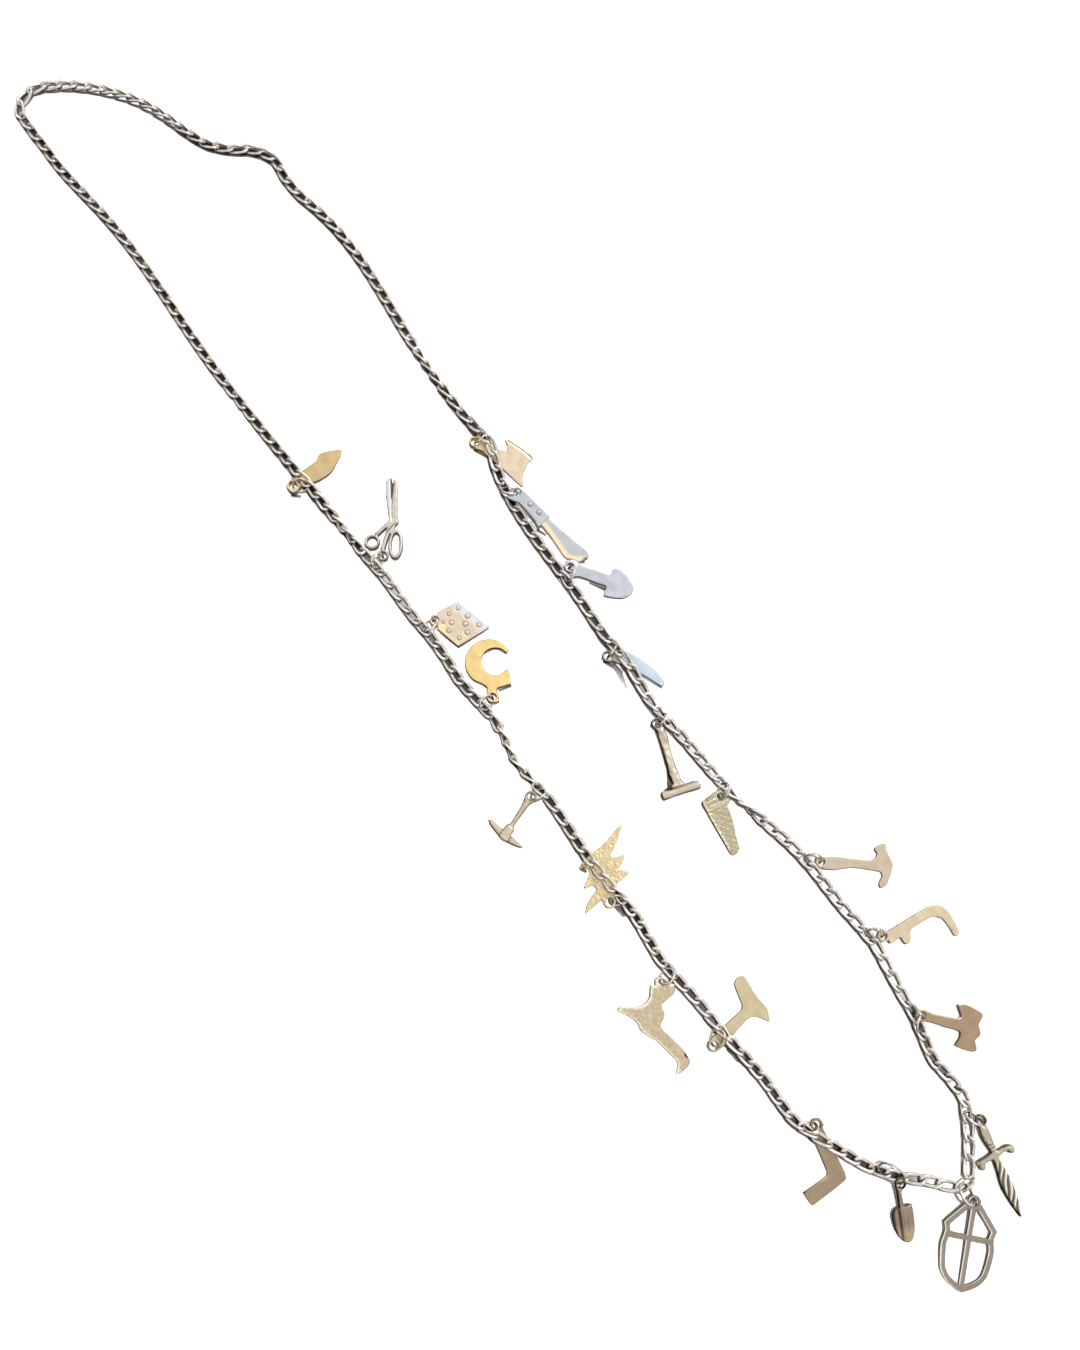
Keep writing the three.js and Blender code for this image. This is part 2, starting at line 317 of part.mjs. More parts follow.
      outline: [[19.02,7.38],[18.08,7.02],[17.5,5.95],[17.68,3.35],[16.42,2.51],[7.96,1.74],[4.61,1.97],[1.12,1.57],[1.13,1.23],[0.84,1.48],[-0.44,1.59],[-1.43,0.82],[-1.64,0.21],[-1.3,-1.01],[-0.21,-1.64],[0.44,-1.59],[1.38,-0.95],[5.91,-0.63],[14.68,-0.49],[16.83,-0.09],[18.35,-3.69],[19.6,-4.07],[20.27,-3.29],[20.05,6.66]],
      extra: [[19.42, -3.49, 18.79, 6.71, 1.0]] },
  },
  knife: {
    link: { along: [0.0, 1.0, 0.003], side: [-1.0, 0.0, 0.003], z: 2.627 },
    ring: { R: 1.85, centre: [11.268, -27.705, 2.265], u: [-0.919, -0.1641, -0.3585], w: [-0.3216, -0.214, 0.9224] },
    plate: { at: [9.694, -27.937, 1.32], dir: [0.361, -0.9326, 0.0], slope: 3.07, t: 0.7, hole: 1.05,
      outline: [[16.62,1.37],[14.36,2.47],[12.38,3.14],[7.29,3.86],[5.04,3.83],[3.57,3.5],[0.6,2.33],[0.6,1.61],[-0.38,1.71],[-1.48,0.94],[-1.73,0.3],[-1.43,-1.01],[-0.3,-1.72],[1.01,-1.43],[1.54,-0.77],[4.85,-0.12],[11.13,-0.09],[16.79,-0.49],[17.29,0.21]] },
  },
  spade: {
    link: { along: [0.0872, 0.9962, -0.001], side: [0.8009, -0.0695, 0.5948], z: 1.364 },
    ring: { R: 2.142, centre: [16.825, -3.656, 2.204], u: [0.8502, 0.5211, 0.0756], w: [0.2404, -0.5118, 0.8248] },
    plate: { at: [18.3, -2.2, 1.662], dir: [0.507, -0.8619, 0.0], slope: 3.731, t: 0.8, hole: 0.95,
      outline: [[18.64,0.12],[17.51,1.51],[15.86,2.81],[13.97,3.72],[12.16,3.92],[11.37,3.42],[11.39,2.2],[10.96,1.48],[3.66,1.43],[2.4,1.75],[1.2,2.15],[0.0,2.15],[-1.2,1.7],[-1.7,0.6],[-1.6,-0.5],[-1.2,-1.15],[-0.54,-1.56],[0.6,-1.55],[0.6,-2.66],[2.0,-2.2],[3.54,-1.75],[8.77,-1.82],[11.02,-1.75],[11.36,-2.37],[11.18,-3.48],[11.36,-4.5],[12.05,-4.6],[16.13,-3.8],[17.69,-2.71],[18.72,-1.38]] },
  },
  cleaver: {
    link: { along: [0.2588, 0.9659, 0.0], side: [0.9437, -0.2529, 0.2133], z: 1.147 },
    ring: { R: 2.253, centre: [19.709, 25.287, 2.411], u: [0.3373, -0.8673, 0.3661], w: [-0.6986, 0.0301, 0.7148] },
    plate: { at: [20.9, 23.4, 2.723], dir: [0.0995, -0.995, 0.0], slope: 4.835, t: 0.8, hole: 0.95,
      outline: [[26.65,1.16],[25.26,1.55],[20.0,1.3],[15.0,1.0],[11.6,0.95],[11.1,1.45],[6.0,1.6],[0.6,1.75],[-0.5,1.55],[-1.2,1.0],[-1.55,0.0],[-1.4,-1.2],[-1.3,-3.1],[-0.9,-3.2],[0.8,-2.6],[2.7,-1.9],[8.7,-2.4],[10.8,-3.1],[11.25,-2.75],[11.35,-1.9],[15.5,-2.5],[19.0,-3.3],[22.2,-3.95],[23.6,-3.5],[25.6,-2.5],[26.8,-1.0],[27.05,0.4]] },
  },
  axe: {
    link: { along: [0.0341, 0.9755, -0.2173], side: [-0.9377, -0.044, -0.3448], z: 3.145 },
    ring: { R: 1.85, centre: [23.549, 42.572, 2.002], u: [-0.8475, 0.1569, -0.507], w: [-0.5137, -0.4831, 0.709] },
    plate: { at: [21.845, 42.71, 1.295], dir: [0.4472, -0.8944, 0.0], slope: 2.952, t: 0.7, hole: 1.05,
      outline: [[16.38,-3.9],[16.19,0.38],[17.01,1.83],[16.38,2.62],[8.17,4.39],[7.52,4.01],[8.82,2.43],[9.27,1.27],[7.98,0.75],[6.58,0.76],[0.6,2.09],[0.6,1.62],[-0.22,1.74],[-1.38,1.07],[-1.69,0.46],[-1.52,-0.87],[-0.46,-1.69],[0.6,-1.61],[0.6,-1.96],[3.6,-1.95],[17.03,-6.79],[17.5,-6.33]] },
  },
};

const wasm = await Module();
wasm.setup();

// three.js geometry -> manifold solid, and back
function solid(geometry) {
  const g = (geometry.index ? geometry.toNonIndexed() : geometry.clone());
  g.deleteAttribute("normal");
  g.deleteAttribute("uv");
  const m = mergeVertices(g, 1e-4);
  const s = new wasm.Manifold(new wasm.Mesh({ numProp: 3, vertProperties: m.attributes.position.array, triVerts: new Uint32Array(m.index.array) }));
  if (s.volume() < 0) throw new Error("inside out");
  return s;
}
function geometryOf(s) {
  const m = s.getMesh(), g = new THREE.BufferGeometry();
  const v = new Float32Array(m.numVert * 3);
  for (let i = 0; i < m.numVert; i++) v.set(m.vertProperties.subarray(i * m.numProp, i * m.numProp + 3), i * 3);
  g.setAttribute("position", new THREE.BufferAttribute(v, 3));
  g.setIndex(new THREE.BufferAttribute(new Uint32Array(m.triVerts), 1));
  const flat = g.toNonIndexed();
  flat.computeVertexNormals();
  return flat;
}
const V = (a) => new THREE.Vector3(a[0], a[1], a[2]);
const UP = new THREE.Vector3(0, 0, 1);

// ---- the chain's centre line as a curve, with the arc length of each mark ----
const line = new THREE.CatmullRomCurve3(ROUTE.map(V), true, "centripetal");
line.arcLengthDivisions = 200 * ROUTE.length;
const N = ROUTE.length, lengths = line.getLengths();
const markAt = {};
ROUTE.forEach((r, i) => { if (r[3]) markAt[r[3]] = lengths[i * 200]; });
const TOTAL = lengths[lengths.length - 1];
const pointAt = (s) => line.getPointAt((((s % TOTAL) + TOTAL) % TOTAL) / TOTAL);
const tangentAt = (s) => pointAt(s + 0.4).sub(pointAt(s - 0.4)).normalize();

// regular octagon with a flat at the bottom, the top and both sides
function octagon(flats) {
  const r = flats / 2 / Math.cos(Math.PI / 8), s = new THREE.Shape();
  for (let i = 0; i < 8; i++) {
    const a = Math.PI / 8 + (i * Math.PI) / 4;
    if (i) s.lineTo(r * Math.cos(a), r * Math.sin(a)); else s.moveTo(r * Math.cos(a), r * Math.sin(a));
  }
  s.closePath();
  return s;
}
function tube(a, b) {
  const n = Math.max(2, Math.ceil((b - a) / STEP)), p = [];
  for (let i = 0; i <= n; i++) p.push(pointAt(a + ((b - a) * i) / n));
  const path = new THREE.CatmullRomCurve3(p, false, "centripetal");
  return solid(new THREE.ExtrudeGeometry(octagon(CHAIN_FLATS), { steps: n, extrudePath: path, curveSegments: 1 }));
}
// closed link of round wire in the plane of x and y: long side along x
function linkGeometry(R, halfLength, wire, sides, segments) {
  const g = new THREE.TorusGeometry(R, wire, sides, segments);
  g.rotateZ(Math.PI / segments);
  const p = g.attributes.position, d = halfLength - R;
  for (let i = 0; i < p.count; i++) p.setX(i, p.getX(i) + Math.sign(p.getX(i)) * d);
  return g;
}
function frame(x, y, origin) {
  const z = new THREE.Vector3().crossVectors(x, y).normalize();
  const y2 = new THREE.Vector3().crossVectors(z, x).normalize();
  return new THREE.Matrix4().makeBasis(x, y2, z).setPosition(origin);
}
// loop at the end of a stretch, through the loop of its neighbour: flat = lying, otherwise standing
function endLoop(s, ahead, flat) {
  const t = tangentAt(s).multiplyScalar(ahead), P = pointAt(s);
  const side = new THREE.Vector3().crossVectors(UP, t).normalize();
  const up = new THREE.Vector3().crossVectors(t, side).normalize();
  const near = LOOP.reach, far = -(STRETCH_END + LOOP.buried); // ends of the loop's centre line along t
  const c = P.clone().addScaledVector(t, (near + far) / 2);
  const g = linkGeometry(LOOP.R, (near - far) / 2, LOOP.wire, 5, 8);
  g.applyMatrix4(frame(t, flat ? side : up, c));
  return solid(g);
}

const root = new THREE.Group();
const table = new THREE.Group();
table.position.set(SHIFT_X, SHIFT_Y, 0);
root.add(table);
function add(name, geometry, [color, roughness, metalness]) {
  const m = new THREE.Mesh(geometry, new THREE.MeshStandardMaterial({ color, roughness, metalness }));
  m.name = name;
  table.add(m);
  return m;
}

// ---- chain stretches ----
// from mark a to mark b along the route; a loop at each pivot, lying on the side of the root and standing on the other
const STRETCHES = [
  ["chain_left_neck_end", "apex", "L9", null, "standing"],
  ["chain_left_neck", "L9", "L8", "lying", "standing"],
  ["chain_left_chest_upper", "L8", "L7", "lying", "standing"],
  ["chain_left_chest", "L7", "L6", "lying", "standing"],
  ["chain_left_middle_upper", "L6", "L5", "lying", "standing"],
  ["chain_left_middle", "L5", "L4", "lying", "standing"],
  ["chain_left_lower_upper", "L4", "L3", "lying", "standing"],
  ["chain_left_lower", "L3", "L2", "lying", "standing"],
  ["chain_left_bottom", "L2", "L1", "lying", "standing"],
  ["chain_bottom", "L1", "R1", "lying", "lying"],
  ["chain_right_bottom", "R1", "R2", "standing", "lying"],
  ["chain_right_lower", "R2", "R3", "standing", "lying"],
  ["chain_right_middle", "R3", "R4", "standing", "lying"],
  ["chain_right_middle_upper", "R4", "R5", "standing", "lying"],
  ["chain_right_chest", "R5", "R6", "standing", "lying"],
  ["chain_right_chest_upper", "R6", "R7", "standing", "lying"],
  ["chain_right_neck", "R7", "R8", "standing", "lying"],
  ["chain_right_neck_end", "R8", "apex", "standing", null],
];
for (const [name, a, b, loopA, loopB] of STRETCHES) {
  let s0 = a === "apex" ? 0 : markAt[a], s1 = b === "apex" ? TOTAL : markAt[b];
  const ends = [s0 + (loopA ? STRETCH_END : 0.5), s1 - (loopB ? STRETCH_END : 0.5)];
  const here = Object.keys(CHARMS).filter((k) => markAt[k] > s0 && markAt[k] < s1).sort((p, q) => markAt[p] - markAt[q]);
  let from = ends[0], body = null;
  const join = (s) => { body = body ? body.add(s) : s; };
  for (const k of here) {
    join(tube(from, markAt[k] - LINK.gap));
    from = markAt[k] + LINK.gap;
    const c = CHARMS[k].link, g = linkGeometry(LINK.R, LINK.halfLength, LINK.wire, 5, 12);
    g.applyMatrix4(frame(V(c.along), V(c.side), V(ROUTE.find((r) => r[3] === k).slice(0, 3)).setZ(c.z)));
    join(solid(g));
  }
  join(tube(from, ends[1]));
  if (loopA) join(endLoop(s0, -1, loopA === "lying"));
  if (loopB) join(endLoop(s1, 1, loopB === "lying"));
  body = body.trimByPlane([0, 0, 1], 0); // the lying links are flat on the table
  add(name, geometryOf(body), SILVER);
}

// ---- jump rings and charms ----
for (const [k, c] of Object.entries(CHARMS)) {
  const g = new THREE.TorusGeometry(c.ring.R, c.ring.wire ?? RING_WIRE, 5, 16);
  g.applyMatrix4(frame(V(c.ring.u), V(c.ring.w), V(c.ring.centre)));
  add("ring_" + k, g, RING_SILVER);

  const path = (p) => p.map(([x, y]) => new THREE.Vector2(x, y));
  const shape = new THREE.Shape(path(c.plate.outline));
  const hole = new THREE.Path();
  for (let i = 0; i < 12; i++) {
    const a = (-i * Math.PI) / 6;
    if (i) hole.lineTo(c.plate.hole * Math.cos(a), c.plate.hole * Math.sin(a)); else hole.moveTo(c.plate.hole, 0);
  }
  hole.closePath();
  shape.holes.push(hole);
  const e = new THREE.ExtrudeGeometry(shape, { depth: c.plate.t, bevelEnabled: false, curveSegments: 1 });
  e.translate(0, 0, -c.plate.t / 2);
  let body = solid(e);
  for (const h of c.plate.holes ?? []) {
    // window or finger hole, cut through
    const w = new THREE.ExtrudeGeometry(new THREE.Shape(path(h)), { depth: 4, bevelEnabled: false, curveSegments: 1 });
    body = body.subtract(solid(w.translate(0, 0, -2)));
  }
  for (const x of c.plate.extra ?? []) {
    // a round bar between two points of the plate, for a head or a knob
    const [x0, y0, x1, y1, r] = x, p = new THREE.Vector3(x0, y0, 0), q = new THREE.Vector3(x1, y1, 0);
    const d = q.clone().sub(p), b = new THREE.CylinderGeometry(r, r, d.length(), 10);
    b.applyMatrix4(frame(new THREE.Vector3(0, 0, 1), d.clone().normalize(), p.clone().add(q).multiplyScalar(0.5)));
    body = body.add(solid(b));
  }
  const dir = V(c.plate.dir), tilt = (c.plate.slope * Math.PI) / 180;
  const x = new THREE.Vector3(dir.x * Math.cos(tilt), dir.y * Math.cos(tilt), -Math.sin(tilt));
  const y = new THREE.Vector3().crossVectors(UP, dir);
  const geo = geometryOf(body);
  geo.applyMatrix4(frame(x, y, V(c.plate.at)));
  add(k, geo, FINISH[k]);
}

export default root;
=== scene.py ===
import json
import math

import bmesh
import bpy
import numpy as np
from mathutils import Matrix, Vector
from mathutils.geometry import delaunay_2d_cdt
from mathutils.kdtree import KDTree


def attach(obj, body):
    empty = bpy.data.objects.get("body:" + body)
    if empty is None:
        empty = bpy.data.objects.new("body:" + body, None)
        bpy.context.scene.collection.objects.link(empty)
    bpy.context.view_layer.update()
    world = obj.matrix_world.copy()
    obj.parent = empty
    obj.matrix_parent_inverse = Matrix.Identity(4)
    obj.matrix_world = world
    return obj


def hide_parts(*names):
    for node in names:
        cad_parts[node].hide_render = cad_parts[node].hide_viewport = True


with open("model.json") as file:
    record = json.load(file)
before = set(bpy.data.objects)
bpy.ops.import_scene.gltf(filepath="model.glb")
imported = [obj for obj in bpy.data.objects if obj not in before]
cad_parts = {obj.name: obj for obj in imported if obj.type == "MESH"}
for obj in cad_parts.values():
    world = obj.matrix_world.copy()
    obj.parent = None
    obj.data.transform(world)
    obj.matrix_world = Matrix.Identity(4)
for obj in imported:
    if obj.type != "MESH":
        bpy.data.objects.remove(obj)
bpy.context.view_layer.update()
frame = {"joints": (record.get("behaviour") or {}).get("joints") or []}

MM = 0.001
SHIFT = np.array([8.195, 0.345, 0.0])
HALF = 2.68     # half length of a chain link, along the centre of its wire
WIDE = 1.14     # half width
WIRE = 0.5      # half the width of the chain wire across the link
THIN = 0.8      # its thickness, as a share of that
TWIST = math.radians(44)  # how far each end of a link is turned out of its plane
RING_WIRE = 0.3

# centre line of the chain, [x, y, z, mark], from the apex of the neck down the left strand and up the right one
ROUTE = [
    [-13.05, 208.68, 1.05, "apex"], [-14.45, 201.72, 1.05], [-14.89, 194.56, 1.05], [-15.46, 187.41, 1.05],
    [-15.45, 180.23, 1.05], [-15.16, 173.06, 1.05], [-14.9, 165.89, 1.05], [-14.95, 158.71, 1.05, "L9"],
    [-15.34, 151.27, 1.05], [-15.98, 143.85, 1.05], [-16.8, 136.44, 1.05], [-17.7, 129.05, 1.05],
    [-18.59, 121.65, 1.05], [-19.39, 114.24, 1.05], [-20.03, 106.82, 1.05, "L8"], [-20.46, 100.47, 1.05],
    [-20.8, 94.12, 1.05], [-21.06, 87.76, 1.05], [-21.28, 81.4, 1.05], [-21.46, 75.03, 2.08],
    [-21.7, 68.7, 3.17], [-21.7, 65.6, 3.16, "machete"], [-21.7, 62.5, 3.15], [-21.95, 56.89, 2.24],
    [-22.14, 51.3, 1.05, "L7"], [-22.32, 46.22, 1.05], [-22.44, 41.14, 1.05], [-22.4, 36.1, 1.27],
    [-22.4, 33, 1.28, "scissors"], [-22.4, 29.9, 1.29], [-22.67, 26.06, 1.19], [-23.03, 22.27, 1.06, "L6"],
    [-23.38, 18.48, 1.15], [-23.6, 14.7, 1.32], [-23.6, 11.6, 1.31, "diamond_plate"], [-23.6, 8.5, 1.31],
    [-24.31, 1.07, 1.06], [-25.43, -6.31, 1.05], [-25.4, -13.8, 1.29], [-25.4, -16.9, 1.28, "crescent"],
    [-25.4, -20, 1.28], [-26.52, -26.2, 1.13], [-28.28, -32.3, 1.05, "L5"], [-28.54, -36.37, 1.05],
    [-28.3, -40.5, 1.05], [-28.3, -43.6, 1.03, "pickaxe"], [-28.3, -46.7, 1.05], [-28.81, -52.12, 1.05],
    [-29.56, -57.55, 1.29], [-30.29, -62.99, 2.1, "L4"], [-30.8, -69.02, 2.73], [-31, -75.1, 3.09],
    [-31, -78.2, 3.1, "burst_plate"], [-31, -81.3, 3.1], [-31.49, -86.61, 1.82], [-32.53, -91.87, 1.06, "L3"],
    [-33.7, -98.5, 1.32], [-33.7, -101.6, 1.31, "notched_plate"], [-33.7, -104.7, 1.3], [-33.48, -109.85, 1.09],
    [-33.5, -114.96, 1.25], [-33.7, -120.24, 2.23], [-33.7, -123.2, 3.15, "adze"], [-33.7, -126.16, 4.07],
    [-33.61, -133.27, 2.84, "L2"], [-33.7, -139.64, 1.15], [-34.34, -145.99, 1.39], [-34.5, -152.41, 3.03],
    [-33.7, -155.4, 3.02, "carpenters_square"], [-32.9, -158.39, 3.01], [-31.61, -161.87, 2.86], [-30.43, -165.43, 2.39, "L1"],
    [-29.27, -169, 1.69], [-27.95, -172.52, 1.16], [-26.4, -175.2, 1.16, "shovel"], [-24.85, -177.88, 1.15],
    [-21.48, -182.04, 1.11], [-17.99, -186.08, 1.1], [-14.8, -190.37, 1.13], [-12, -192.1, 1.16, "shield"],
    [-9.61, -190.94, 1.12], [-7.64, -188.95, 1.12], [-4.23, -185.52, 1.16], [-1.08, -181.84, 1.32],
    [0.7, -179.3, 1.3, "dagger"], [2.48, -176.76, 1.27], [3.25, -169.91, 1.09, "R1"], [3.32, -164.43, 1.05],
    [5.04, -159.21, 1.18], [6.1, -156.3, 1.15, "double_axe"], [7.16, -153.39, 1.12], [8.06, -149.28, 1.07],
    [8.93, -145.15, 1.05, "R2"], [10.51, -138.82, 1.05], [11.99, -132.5, 1.24], [12.1, -129.4, 1.25, "sickle"],
    [12.21, -126.3, 1.25], [12.19, -119.91, 1.05], [12.56, -113.58, 1.05], [13, -107.2, 1.24],
    [13, -104.1, 1.26, "claw_hammer"], [13, -101, 1.28], [12.45, -95.19, 1.05], [11.6, -89.37, 1.05, "R3"],
    [10.71, -83.55, 1.05], [10, -77.7, 1.3], [10, -74.6, 1.31, "hand_saw"], [10, -71.5, 1.32],
    [10.13, -65.29, 1.05], [10.3, -59.08, 1.05], [10.1, -52.9, 1.43], [10.1, -49.8, 1.42, "sledge_hammer"],
    [10.1, -46.7, 1.41], [10.59, -42.6, 1.21], [11.38, -38.57, 1.82, "R4"], [12.17, -34.54, 2.53],
    [12.7, -30.5, 2.62], [12.7, -27.4, 2.63, "knife"], [12.7, -24.3, 2.64], [13.39, -18.56, 1.33],
    [14.27, -12.87, 1.05], [14.93, -7.19, 1.37], [15.2, -4.1, 1.36, "spade"], [15.47, -1.01, 1.36],
    [16.04, 5.3, 1.14], [16.67, 11.56, 1.05, "R5"], [17.53, 17.8, 1.05], [18.7, 24.01, 1.15],
    [19.5, 27, 1.15, "cleaver"], [20.3, 29.99, 1.15], [22.24, 34.64, 3.03], [24.49, 39.18, 3.82],
    [24.6, 42.2, 3.15, "axe"], [24.71, 45.22, 2.47], [24.74, 49.23, 1.5], [24.88, 53.11, 1.07, "R6"],
    [25.32, 59.86, 1.05], [25.98, 66.59, 1.05], [26.88, 73.29, 1.05], [28, 79.95, 1.05],
    [29.25, 86.6, 1.05], [30.52, 93.24, 1.05], [31.69, 99.89, 1.05], [32.63, 106.59, 1.05],
    [33.23, 113.32, 1.05, "R7"], [33.35, 120.08, 1.05], [32.86, 126.82, 1.05], [32.01, 133.52, 1.05],
    [32.25, 140.26, 1.05], [33.31, 146.92, 1.05], [30.67, 153.01, 1.05], [25.89, 157.79, 1.05],
    [21.93, 163.21, 1.05], [19.78, 169.61, 1.05, "R8"], [18.26, 176.74, 1.05], [16.33, 183.78, 1.05],
    [13.42, 190.47, 1.05], [9.6, 196.69, 1.05], [5.05, 202.39, 1.05], [-0.31, 207.33, 1.05],
    [-6.72, 210.77, 1.05],
]

